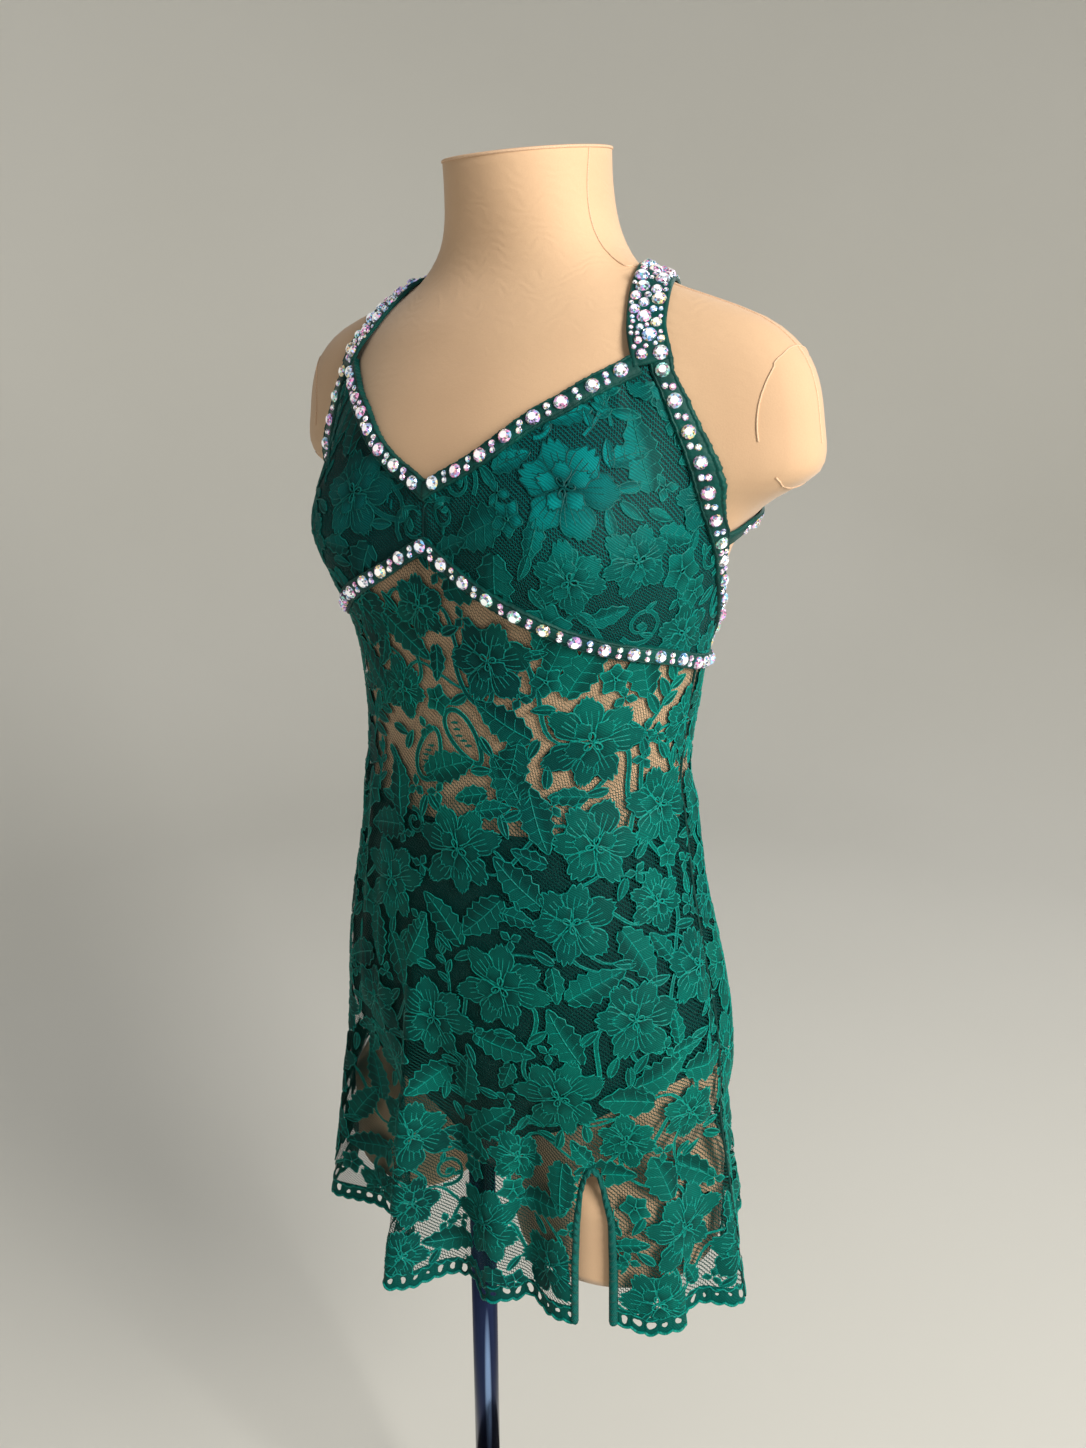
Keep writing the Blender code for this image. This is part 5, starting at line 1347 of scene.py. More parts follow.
for name, (first, last) in SKIRT_HALVES.items():
    pick = random.Random(71 if name == "front" else 72)
    turns = hem_turns(first, last, 720)
    marks = np.linspace(0, CELLS_PER_HALF, 721)
    cells = []
    for cell in range(CELLS_PER_HALF):
        middle = float(np.interp(cell + 0.5, marks, turns))
        if name == "front" and not outside_slit(np.array([middle]), 0.0005)[0]:
            continue
        run = float(distance_round(skirt_chart, np.interp(cell + 1, marks, turns), HEM_HEIGHT + 0.004)
                    - distance_round(skirt_chart, np.interp(cell, marks, turns), HEM_HEIGHT + 0.004))
        hole = pick.choice(EYELET_SIZES) * pick.uniform(0.9, 1.1)
        drop = EYELET_HEIGHT + pick.uniform(-0.0013, 0.0016)
        up, none, full = np.linspace(0, 1, 5)[:-1], np.zeros(4), np.ones(4)
        edges = ((up, none), (full, up), (1 - up, full), (none, 1 - up))
        square = np.concatenate([np.stack(edge, 1) for edge in edges])
        turn = np.arctan2(square[:, 1] - 0.5, square[:, 0] - 0.5)
        wobble = 1 + 0.22 * np.sin(turn * 2 + pick.uniform(0, 6)) + 0.10 * np.sin(turn * 3 + pick.uniform(0, 6))
        ring_x = 0.5 + hole / run * np.cos(turn) * wobble
        ring_y = drop + hole * np.sin(turn) * wobble
        mid_x = 0.5 + (hole + EYELET_RIM) / run * np.cos(turn) * wobble
        mid_y = drop + (hole + EYELET_RIM) * np.sin(turn) * wobble
        x = cell + np.concatenate([square[:, 0], mid_x, ring_x])
        y = np.concatenate([square[:, 1] * BORDER_HEIGHT, mid_y, ring_y])
        lift = NET_LIFT + np.concatenate([np.full(16, 0.0001), np.full(16, 0.0007), np.full(16, 0.0)])
        cells.append((np.stack([*hem_spots(marks, turns, x, y), lift], 1), grid_faces(3, 16, around=True)))
    places, faces = gathered(cells)
    points = on_surface(lace_surface, places[:, 0], places[:, 1], places[:, 2])
    border = piece("hem_border_" + name, points, faces, [hem_fill], "lace")
    give_place(border, skirt_chart, places[:, 0], places[:, 1], (first + last) / 2)
    give_tone(border, np.full(len(places), 0.9))
    # Cords: along the scallops, and a wavering one where the border meets the net
    cords = []
    fine = np.linspace(0.1, CELLS_PER_HALF - 0.1, 900)
    degrees, z = hem_spots(marks, turns, fine, 0.0)
    runs = [np.ones(len(fine), bool)]
    if name == "front":
        clear = (SLIT_WIDTH / 2 + 0.001) * slit_scale
        runs = [degrees < SLIT_ANGLE - clear, degrees > SLIT_ANGLE + clear]
    waver = BORDER_HEIGHT - 0.0008 + 0.0007 * np.sin(fine * 2.7) + 0.0005 * np.sin(fine * 6.1 + 1)
    for kept in runs:
        scallop, top = z[kept] + 0.0004, z[kept] + waver[kept]
        cords.append(rolled_edge(degrees[kept], scallop, lace_surface, NET_LIFT + 0.0003, SCALLOP_CORD_RADIUS, 6))
        cords.append(rolled_edge(degrees[kept], top, lace_surface, NET_LIFT + 0.0004, TOP_CORD_RADIUS, 5))
    hem_cords = piece("hem_cords_" + name, *gathered(cords), [skirt_cord], "lace")
    ends = [distance_round(skirt_chart, turn, HEM_MEASURED_AT) for turn in (first, last)]

# A bias strip of the same green is folded over the slit's edge all the way round its arch. It is rolled round and
# a little fuzzy, and the net is caught inside it.
SLIT_STRIP_RISE = 0.0036
inner_turns, inner_z = slit_edge(0.0027, 260)
outer_turns, outer_z = slit_edge(-0.0025, 260)
across = np.linspace(0, 1, 9)[:, None]
turns = outer_turns * (1 - across) + inner_turns * across
z = np.maximum(outer_z * (1 - across) + inner_z * across, hem_height(turns) + 0.0006)
pick = np.random.default_rng(9)
fuzz = 1 + 0.26 * np.sin(np.linspace(0, 260, 260) * 0.9 + 2 * np.sin(np.linspace(0, 40, 260)))
rounded = np.sqrt(np.clip(1 - (2 * across - 1) ** 2, 0, 1))
lift = NET_LIFT - 0.0010 + SLIT_STRIP_RISE * rounded * fuzz + pick.uniform(-0.00022, 0.00022, z.shape)
outer = on_surface(lace_surface, turns, z, lift)
inner = on_surface(lace_surface, turns, z, NET_LIFT - 0.0011)
slit_cord = thin_sheet("slit_edge_cloth", outer, inner, slit_silk, "binding_cloth", inside_out=True)
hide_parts("slit_binding")

# The side seams: the two panels' edges are overlocked together inside, which leaves a narrow dark ridge and
# a dip that sways a little on its way down.
seam_dyes = (0.0008, 0.055, 0.0457, 1), (0.0003, 0.014, 0.0127, 1)
seam_silk = woven_finish("side_seam_thread", *seam_dyes, 6000.0, 0.55, 0.05)
seams = []
for turn in (SIDE_SEAM, -SIDE_SEAM):
    heights = np.linspace(HEM_HEIGHT + 0.002, float(band_height(turn)) - 0.003, 220)
    sway = turn + 0.25 * np.sin(heights * 60)
    seams.append(rolled_edge(sway, heights, lace_surface, NET_LIFT + 0.0003, 0.0009 * np.ones(220), 6))
piece("side_seams", *gathered(seams), [seam_silk], "lace")

# The bodice is two soft cups joined by a seam at the middle front, and two narrow wings that carry them to the back.
# Each is lace laid on a near-black green lining and sewn down at the edges, so the net shows dark and the motifs light.
CUP_LINING_THICK = 0.0010
CUP_NET_LIFT = 0.0021
CUP_MOTIF_LIFT = 0.0023
MEAN_RADIUS = 0.135
SEAM_HALF_TURN = 0.10
MIDDLE_DIP = 0.0009
MIDDLE_SWELL = 0.0005
MIDDLE_SEAM_RADIUS = 0.0009
CUP_MESH_SIZE = 0.0019
# Top edge of the cup along the neck, from the point of the V to the strap: angle, height
NECK_ROWS = [
    (0.08, 1.1215), (7, 1.1275), (14.5, 1.1335), (22.5, 1.1415), (30.7, 1.1513), (39, 1.161), (46.5, 1.168),
    (54.5, 1.1765), (62, 1.1835), (67, 1.1885),
]
# Outer edge of the cup along the armhole, from the strap down, and on along the top of the back wing: angle, height
ARM_ROWS = [
    (75.6, 1.1955), (74.6, 1.182), (75.7, 1.169), (76.9, 1.155), (78.5, 1.139), (79.9, 1.1265),
    (81.8, 1.1145), (84.2, 1.104), (87.0, 1.0945), (89.6, 1.087), (92.0, 1.0795), (95.2, 1.068),
    (100.3, 1.052), (105.7, 1.0397), (111.0, 1.0295), (115.0, 1.019), (118.0, 1.009),
]
# Short soft pleats where the cup is drawn in under the strap and at the middle: angle, height, lean, length, depth
CUP_PLEATS = [
    (62, 1.172, -0.1, 0.03, 0.0012), (69, 1.176, 0.02, 0.034, 0.0014), (8, 1.106, 0.6, 0.026, 0.001),
    (5, 1.097, 0.9, 0.024, 0.0009), (71, 1.052, -0.55, 0.03, 0.0011),
]


def unrolled_line(line):
    line = np.asarray(line, float)
    return np.stack([np.radians(line[:, 0]) * MEAN_RADIUS, line[:, 1]], 1)


def resampled(line, count):
    """Evenly spaced (angle, height) points along a line, count + 1 of them."""
    line = np.asarray(line, float)
    runs = lengths_along(unrolled_line(line))
    want = np.linspace(0, runs[-1], count + 1)
    return at_lengths(want, runs, line)


def fine_curve(rows, steps):
    """Points on a smooth curve through a table's rows, with a number of steps from each row to the next."""
    rows = np.array(rows, float)
    fine = []
    t = np.arange(steps)[:, None] / steps
    for i in range(len(rows) - 1):
        a, b, c, d = rows[max(i - 1, 0)], rows[i], rows[i + 1], rows[min(i + 2, len(rows) - 1)]
        fine.append(0.5 * (2 * b + (c - a) * t + (2 * a - 5 * b + 4 * c - d) * t**2 + (3 * b - a - 3 * c + d) * t**3))
    return np.vstack(fine + [rows[-1:]])


def smooth_curve(rows, count):
    """Evenly spaced points on a smooth curve through a table's points."""
    return resampled(fine_curve(rows, 12), count)


def beside(line, distance):
    """The line moved to its right by a distance on the unrolled body."""
    flat = unrolled_line(line)
    run = unit(np.vstack([flat[1] - flat[0], flat[2:] - flat[:-2], flat[-1] - flat[-2]]))
    moved_to = flat + np.stack([run[:, 1], -run[:, 0]], 1) * distance
    return np.stack([np.degrees(moved_to[:, 0] / MEAN_RADIUS), moved_to[:, 1]], 1)


def patch(bottom, top, left, right):
    """Grid of (angle, height) points filling four edge lines."""
    u = np.linspace(0, 1, len(bottom))[None, :, None]
    v = np.linspace(0, 1, len(left))[:, None, None]
    corners = (1 - u) * (1 - v) * bottom[0] + u * (1 - v) * bottom[-1] + (1 - u) * v * top[0] + u * v * top[-1]
    return (1 - v) * bottom[None] + v * top[None] + (1 - u) * left[:, None] + u * right[:, None] - corners


def cup_surface(degrees, z):
    """The cups: the form's shape, drawn in at the middle seam and along the pleats."""
    degrees, z = np.broadcast_arrays(np.asarray(degrees, float), np.asarray(z, float))
    dip, swell = np.exp(-((degrees / 0.9) ** 2)), np.exp(-((np.abs(degrees) - 2.6) / 1.3) ** 2)
    radius = body_radius(degrees, z) - MIDDLE_DIP * dip + MIDDLE_SWELL * swell
    for turn, height, lean, length, depth in CUP_PLEATS:
        away = np.abs(degrees) - turn
        x, y = np.radians(away) * MEAN_RADIUS, z - height
        across = (x * math.cos(lean) + y * math.sin(lean)) / 0.0035
        down = (-x * math.sin(lean) + y * math.cos(lean)) / (length / 2)
        radius = radius + depth * np.exp(-down * down) * (np.exp(-across * across) - 0.5 * np.exp(-(across - 1.8) ** 2))
    return radius


def mirrored(grid):
    """The same grid on the wearer's right."""
    return np.stack([-grid[:, ::-1, 0], grid[:, ::-1, 1]], -1)


low, high = SEAM_HALF_TURN, SIDE_SEAM - SEAM_HALF_TURN
turns = np.linspace(low, high, 61)
bottom = np.stack([turns, band_height(turns) + SEAM_HALF_GAP], 1)
arm = smooth_curve(ARM_ROWS, 80)
front_arm = arm[arm[:, 0] <= high]
neck = smooth_curve(NECK_ROWS, 60)
cup_top_line = np.vstack([neck, front_arm[:1]])
right_edge = np.vstack([bottom[-1:], [(high, front_arm[-1][1])], front_arm[::-1]])
left_edge = np.array([(low, bottom[0][1]), (low, neck[0][1])])
cup_edges = (bottom, 96), (cup_top_line, 96), (left_edge, 72), (right_edge, 72)
cup_grid = patch(*(resampled(*edge) for edge in cup_edges))
low = SIDE_SEAM + SEAM_HALF_TURN
wing_top = arm[arm[:, 0] >= low]
wing_top = np.vstack([[(low, wing_top[0][1] + 0.0004)], wing_top])
turns = np.linspace(low, wing_top[-1][0], 21)
wing_bottom = np.stack([turns, band_height(turns) + SEAM_HALF_GAP], 1)
wing_ends = [([wing_bottom[end], wing_top[end]], 24) for end in (0, -1)]
wing_grid = patch(*(resampled(*edge) for edge in [(wing_bottom, 40), (wing_top, 40)] + wing_ends))

lining_dyes = (0.0004, 0.024, 0.024, 1), (0.0002, 0.006, 0.006, 1)
lining_finish = woven_finish("cup_lining_cloth", *lining_dyes, 4600.0, 0.6, 0.03)
# The cup's net is lighter than the skirt's, a painted sheen where the light grazes the cups; the fill's brighter teal
# feeds the painted teal highlight on the bust
net_dyes = (0.0004, 0.04, 0.0381, 1), (0.001, 0.11, 0.0991, 1), (0.001, 0.085, 0.085, 1)
fill_dyes = (0.0002, 0.045, 0.0419, 1), (0.0003, 0.12, 0.0991, 1), (0.0004, 0.25, 0.25, 1)
cord_dyes = (0.0006, 0.12, 0.1041, 1), (0.001, 0.2, 0.1715, 1), (0.0004, 0.06, 0.06, 1)
cup_net_finish = net_finish("cup_net", CUP_MESH_SIZE, *net_dyes)
cup_fill = motif_finish("cup_motif_silk", *fill_dyes, 0.62)
cup_cord = cord_finish("cup_outline_cord", *cord_dyes)

CUP_MOTIFS = {
    "left": [
        ("open_rose", 46, 1.1215, 20), ("small_rose", 62, 1.084, 50), ("small_rose", 46.6, 1.0745, 10),
        ("short_spray", 52, 1.148, -25), ("short_spray", 59, 1.153, 20), ("leaf", 66, 1.12, 12),
        ("short_leaf", 34.7, 1.138, 70), ("curl", 21, 1.116, 60), ("small_curl", 12, 1.112, 150),
        ("short_leaf", 27, 1.13, -60), ("short_leaf", 57, 1.135, -70), ("wide_leaf", 30, 1.105, 110),
        ("short_leaf", 44, 1.156, -70),
    ],
    "right": [
        ("open_rose", -29, 1.112, 35), ("small_rose", -48, 1.086, 0), ("leaf", -38, 1.133, 20),
        ("leaf", -50, 1.138, 5), ("scroll", -8, 1.101, 60), ("curl", -14, 1.116, 0),
        ("short_spray", -60, 1.148, 15), ("wide_leaf", -22, 1.083, 150), ("short_leaf", -57, 1.108, 30),
    ],
}
CUP_FILLERS = [
    ("small_rose", 24), ("wide_leaf", 40), ("scroll", 70), ("curl", 110), ("short_spray", 100),
    ("floret", 120), ("short_leaf", 200), ("small_curl", 320), ("small_floret", 200), ("narrow_leaf", 420),
    ("buds", 260),
]
top_edge = np.vstack([neck, [(73.5, 1.1930)], arm[arm[:, 0] > 75.65]])
top_edge = top_edge[np.argsort(top_edge[:, 0])]


def in_bodice(side, over=0.0):
    """A test of whether places are on one side's cup and wing."""

    def test(degrees, z):
        turn = degrees * side
        top = np.minimum(np.interp(turn, *top_edge.T) - 0.003, np.interp(turn + 1.8, *top_edge.T))
        top = np.where(turn > 66, np.minimum(top, 1.176), top)
        return (z > band_height(turn) + 0.002 - over) & (z < top + over) & (turn > 0.5 - over * 400) & (turn < 118)

    return test


cup_chart = unrolled(cup_surface, -124.0, 124.0, 0.996, 1.205)
for side, name, grid_of in ((1, "left", lambda g: g), (-1, "right", mirrored)):
    linings, nets = [], []
    for part, grid in (("cup", grid_of(cup_grid)), ("wing", grid_of(wing_grid))):
        turns, z = grid[..., 0], grid[..., 1]
        sizes = (LACE_LIFT, CUP_LINING_THICK, cup_surface)
        lining = shell(part + "_lining_" + name, turns, z, *sizes, lining_finish, "lined_lace")
        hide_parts(part + "_" + name)
        points = on_surface(cup_surface, turns, z, CUP_NET_LIFT).reshape(-1, 3)
        net = piece(part + "_net_" + name, points, grid_faces(*turns.shape), [cup_net_finish], "lined_lace")
        give_place(net, cup_chart, turns.ravel(), z.ravel())
        linings.append(lining)
        nets.append(net)
    reach = (4, 116) if side > 0 else (-116, -4)
    fillers = [(kind, tries, *reach, 1.010, 1.190) for kind, tries in CUP_FILLERS]
    layout = laid_out(cup_chart, CUP_MOTIFS[name], fillers, in_bodice(side, 0.004), 31 + side, 0.96)
    points, faces, inks, places = pressed(cup_chart, layout, [], in_bodice(side), CUP_MOTIF_LIFT)
    motifs = piece("cup_motifs_" + name, points, faces, [cup_fill, cup_cord], "lined_lace", inks)
    give_place(motifs, cup_chart, places[:, 0], places[:, 1])
    give_tone(motifs, places[:, 3])
middle_seam = np.linspace(1.0880, 1.1190, 24)
seam = rolled_edge(np.zeros(24), middle_seam, cup_surface, 0.0022, MIDDLE_SEAM_RADIUS)
seam_dyes = (0.0008, 0.045, 0.0432, 1), (0.0003, 0.014, 0.0127, 1)
seam_silk = woven_finish("bodice_seam_thread", *seam_dyes, 6000.0, 0.5, 0.05)
piece("cup_middle_seam", seam[0], seam[1], [seam_silk], "lined_lace")

# Every edge of the bodice is bound with a folded satin strip about 10 mm wide, stitched along both sides and slightly
# puckered: the under-bust band, the neckline, the armholes, and the straps that cross at the back.
BINDING_WIDTH = 0.0105
BINDING_BASE = 0.0008
BINDING_RISE = 0.0037
BAND_BASE, BAND_RISE = 0.0012, 0.0036
ARM_BINDING_BASE, ARM_BINDING_RISE = 0.0009, 0.0038
ARM_BINDING_END = 118.0
ARM_BINDING_TOP = 1.1900
# Half of the strip's section, from its edge towards its middle: place across, share of the full rise
half_profile = [(1, 0.0), (0.985, 0.62), (0.9, 0.93), (0.8, 0.97), (0.73, 0.8), (0.66, 0.95), (0.35, 1.0)]
STRIP_PROFILE = np.array([(-across, share) for across, share in half_profile] + [(0, 1.02)] + half_profile[::-1])
FLAT_STRIP_WIDTH = 0.0135
FLAT_ARM_STRIP_WIDTH = 0.0170

satin = {"Roughness": 0.42, "Sheen_Weight": 0.03, "Sheen_Roughness": 0.35, "Specular_IOR_Level": 0.2}
binding_finish, tree, shader = finish_of("emerald_satin_binding", **satin)
weave = placed_group(tree, WEAVE, Thread=(0.0008, 0.095, 0.0762, 1), Gap=(0.0004, 0.032, 0.0279, 1), Count=7800.0)
spots = object_spots(tree)
worn = noise(tree, spots, 42.0, 4.0)
patchy = between(tree, worn, 0.35, 0.68, 0.0, 0.75)
feed(shader, "Base Color", blended(tree, patchy, weave.outputs["Colour"], (0.0003, 0.022, 0.0203, 1)))
feed(shader, "Roughness", between(tree, worn, 0.3, 0.7, 0.34, 0.58))
fine = noise(tree, spots, 520.0, 2.0)
height = plus(tree, times(tree, weave.outputs["Height"], 0.4), times(tree, fine, 0.8))
relief(shader, height, 0.45, 0.0005)

strip_middles = {}


def strip_piece(name, inner, outer):
    """A closed strip from its inner and outer grids, with each column a place along it."""
    made = thin_sheet(name, outer, inner, binding_finish, "binding_cloth")
    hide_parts(name.replace("_cloth", ""))
    return made


def puckers(count, length, seed):
    """Small uneven rises along a strip."""
    pick = np.random.default_rng(seed)
    s = np.linspace(0, length, count)
    out = np.zeros(count)
    for pitch in (0.0031, 0.0058, 0.0124):
        out += np.sin(s / pitch * 2 * np.pi + pick.uniform(0, 6) + np.sin(s / 0.017 + pick.uniform(0, 6)) * 1.4)
    return out / 3


def body_strip(name, rail_a, rail_b, seed, base=BINDING_BASE, rise=BINDING_RISE, flat_width=FLAT_STRIP_WIDTH):
    """A strip on the body between two lines of angles and heights, the first its lower or inner one."""
    length = np.linalg.norm(np.diff(unrolled_line(rail_a), axis=0), axis=1).sum()
    count = int(length / 0.0011)
    a, b = resampled(rail_a, count), resampled(rail_b, count)
    across, share = STRIP_PROFILE[:, :1], STRIP_PROFILE[:, 1:]
    t = (across + 1) / 2
    wave = puckers(count + 1, length, seed)[None]
    edge = puckers(count + 1, length, seed + 50)[None] * 0.035
    t = t + np.where(np.abs(across) > 0.6, np.sign(across) * edge, 0)
    turns, z = a[:, 0] * (1 - t) + b[:, 0] * t, a[:, 1] * (1 - t) + b[:, 1] * t
    lift = base + rise * share * (1 + 0.09 * wave)
    outer = on_surface(body_radius, turns, z, lift)
    inner = on_surface(body_radius, turns, z, base - 0.0001)
    made = strip_piece(name, inner, outer)
    middle = len(STRIP_PROFILE) // 2
    normals = normals_of(body_radius, turns[middle], z[middle])
    strip_middles[name] = (outer[middle], normals, outer[middle + 3] - outer[middle - 3])


def other_side(rail):
    return np.stack([-rail[::-1, 0], rail[::-1, 1]], 1)


for name, seed in (("front", 1), ("back", 2)):
    first, last = SKIRT_HALVES[name]
    band_turns = np.linspace(first + SEAM_HALF_TURN, last - SEAM_HALF_TURN, 185)
    line, half = np.stack([band_turns, band_height(band_turns)], 1), (0, BINDING_WIDTH / 2)
    body_strip("band_" + name + "_cloth", line - half, line + half, seed, BAND_BASE, BAND_RISE)

neck_line = smooth_curve(NECK_ROWS, 120)
across, up = np.diff(unrolled_line(neck_line[:2]), axis=0)[0]
rise = math.atan2(up, across)
mitre = (neck_line[0][0], neck_line[0][1] - BINDING_WIDTH / math.cos(rise))
inner_rail = beside(neck_line, BINDING_WIDTH - 0.0006)
inner_rail = np.vstack([[mitre], inner_rail[inner_rail[:, 0] > neck_line[0][0] + 2.5]])
outer_rail = beside(neck_line, -0.0006)
outer_rail[0, 0] = neck_line[0][0]
outer_rail = outer_rail[outer_rail[:, 0] >= neck_line[0][0]]
body_strip("neck_binding_left_cloth", inner_rail, outer_rail, 3)
body_strip("neck_binding_right_cloth", other_side(inner_rail), other_side(outer_rail), 4)
arm_line = smooth_curve(ARM_ROWS, 160)
arm_line = arm_line[(arm_line[:, 0] < ARM_BINDING_END) & (arm_line[:, 1] < ARM_BINDING_TOP)]
outer_rail, inner_rail = beside(arm_line, -0.0006), beside(arm_line, BINDING_WIDTH - 0.0006)
sizes = ARM_BINDING_BASE, ARM_BINDING_RISE, FLAT_ARM_STRIP_WIDTH
body_strip("arm_binding_left_cloth", inner_rail, outer_rail, 5, *sizes)
body_strip("arm_binding_right_cloth", other_side(inner_rail), other_side(outer_rail), 6, *sizes)

# Middle of the strap over the shoulder and across the back to the other underarm: x, y, z, half width
STRAP_ROWS = [
    (0.1075, -0.0395, 1.1945, 0.0105), (0.105, -0.032, 1.203, 0.011), (0.0985, -0.018, 1.218, 0.0115),
    (0.09, 0.002, 1.234, 0.0115), (0.082, 0.025, 1.233, 0.0105), (0.07, 0.05, 1.22, 0.0085),
    (0.051, 0.075, 1.195, 0.0065), (0.026, 0.092, 1.168, 0.0058), (0.0000, 0.098, 1.148, 0.0058),
    (-0.035, 0.096, 1.129, 0.0058), (-0.075, 0.088, 1.115, 0.0058), (-0.11, 0.074, 1.107, 0.0058),
    (-0.14, 0.048, 1.102, 0.0058), (-0.153, 0.018, 1.096, 0.0058), (-0.15, 0.006, 1.0915, 0.0056),
    (-0.15, -0.0085, 1.086, 0.0052),
]
STRAP_BASE = 0.0010
STRAP_RISE = 0.0023
# The strap is sewn over the ends of the two bindings. Its foot's angle and height:
STRAP_FOOT = (71.3, 1.1845)
STRAP_FOOT_HALF_WIDTH = 0.0112
STRAP_POINTS = 330
STRAP_FOOT_RISE = 0.0020
CROSSING_RISE = 0.0036
CROSSING_REACH = 0.020
STRAP_EASING = 14


def strap_line(side, count):
    """Middle of a strap on the form, with its normals and half widths."""
    rows = np.array(STRAP_ROWS) * (side, 1, 1, 1)
    foot = place(side * STRAP_FOOT[0], body_radius(*STRAP_FOOT), STRAP_FOOT[1])
    rows = np.vstack([[*foot, STRAP_FOOT_HALF_WIDTH], rows[1:]])
    fine = fine_curve(rows, 20)
    runs = lengths_along(fine[:, :3])
    want = np.linspace(0, runs[-1], count)
    fine = at_lengths(want, runs, fine)
    line, normals = on_form(fine[:, :3])
    line, normals = smoothed(line, STRAP_EASING), smoothed(normals, STRAP_EASING)
    return line, unit(normals), fine[:, 3], runs[-1]


straps = {}
for side, name, seed in ((1, "left", 7), (-1, "right", 8)):
    line, normals, half, length = strap_line(side, STRAP_POINTS)
    along = np.gradient(line, axis=0)
    across = unit(np.cross(normals, along))
    # The right strap lies over the left where they cross at the back
    over = CROSSING_RISE * np.exp(-((line[:, 0] / CROSSING_REACH) ** 2)) * (line[:, 1] > 0.05) * (side < 0)
    over = over + STRAP_FOOT_RISE * (1 - ease(np.linspace(0, length, STRAP_POINTS), 0.010, 0.030))
    wave = puckers(STRAP_POINTS, length, seed)
    outer, inner = [], []
    for place_across, share in STRIP_PROFILE[::-1]:
        spot = line + across * (half * place_across)[:, None]
        height = np.einsum("ij,ij->i", on_form(spot)[0] - spot, normals)
        ground = spot + normals * (smoothed(height, 6) + STRAP_BASE + over)[:, None]
        inner.append(ground)
        outer.append(ground + normals * (STRAP_RISE * share * (1 + 0.10 * wave))[:, None])
    inner, outer = np.array(inner), np.array(outer)
    facing = np.cross(outer[7, 51] - outer[7, 50], outer[8, 50] - outer[7, 50]) @ normals[50]
    if facing < 0:
        inner, outer = inner[::-1], outer[::-1]
    strap = strip_piece("strap_" + name + "_cloth", inner, outer)
    straps[name] = (outer[7], normals, across, half, length)

# Flat-backed cut-glass crystals with a silvered, rainbow-coated back are glued on: large round ones at even steps
# along every binding with a pair of small ones set across between them, and crowded clusters on the wide straps.
STONE_RADIUS = 0.0042
STONE_HEIGHT = 0.0026
STONE_PITCH = 0.0185
SMALL_STONE_RADIUS = 0.00195
SMALL_STONE_APART = 0.0020
SUNK = 0.0002
GLINTS = [
    (0.92, 0.94, 0.97), (0.98, 0.98, 0.99), (0.55, 0.6, 0.7), (0.22, 0.26, 0.34), (0.98, 0.42, 0.72),
    (0.95, 0.3, 0.62), (0.62, 0.45, 0.98), (0.34, 0.66, 0.99), (0.2, 0.52, 0.95), (0.98, 0.76, 0.34),
    (0.4, 0.92, 0.74),
]

# The stones glow a little by emission in their facets' colours, a painted glow
glass = {"Metallic": 0.5, "Coat_Weight": 1.0, "Coat_Roughness": 0.02, "Emission_Strength": 0.30}
crystal_finish, tree, shader = finish_of("rainbow_crystal_painted_glint", **glass)
facet_and_glint = node(tree, "Attribute", attribute_name="facet_colour_and_painted_glint").outputs["Color"]
spots = object_spots(tree)
cloudy = noise(tree, spots, 420.0, 1.0)
dull = blended(tree, between(tree, cloudy, 0.45, 0.7, 0.0, 0.2), facet_and_glint, (0.42, 0.46, 0.50, 1))
feed(shader, "Base Color", dull)
feed(shader, "Emission Color", facet_and_glint)
feed(shader, "Roughness", between(tree, cloudy, 0.3, 0.7, 0.05, 0.14))


def crystal(radius, height, sides):
    """A round stone with a flat back, a belt of kite facets, a ring of upper facets and a flat table."""
    turns = np.radians(np.arange(sides) * 360 / sides)
    half = np.radians(180 / sides)
    rings = []
    steps = ((0.97, -0.0004, 0), (1.0, height * 0.20, 0), (0.82, height * 0.66, half), (0.52, height, 0))
    for share, z, twist in steps:
        ring = [np.cos(turns + twist) * (radius * share), np.sin(turns + twist) * (radius * share), np.full(sides, z)]
        rings.append(np.stack(ring, 1))
    points = np.vstack(rings)
    i = np.arange(sides)
    n = (i + 1) % sides
    faces = [list(face) for face in np.stack([i, n, n + sides, i + sides], 1).tolist()]
    for low, flip in ((1, False), (2, True)):
        a, b = low * sides, (low + 1) * sides
        for k in range(sides):
            m = (k + 1) % sides
            if flip:
                faces += [[a + k, a + m, b + m], [a + k, b + m, b + k]]
            else:
                faces += [[a + k, a + m, b + k], [a + m, b + m, b + k]]
    faces.append([3 * sides + k for k in range(sides)])
    faces.append([sides - 1 - k for k in range(sides)])
    return points, faces


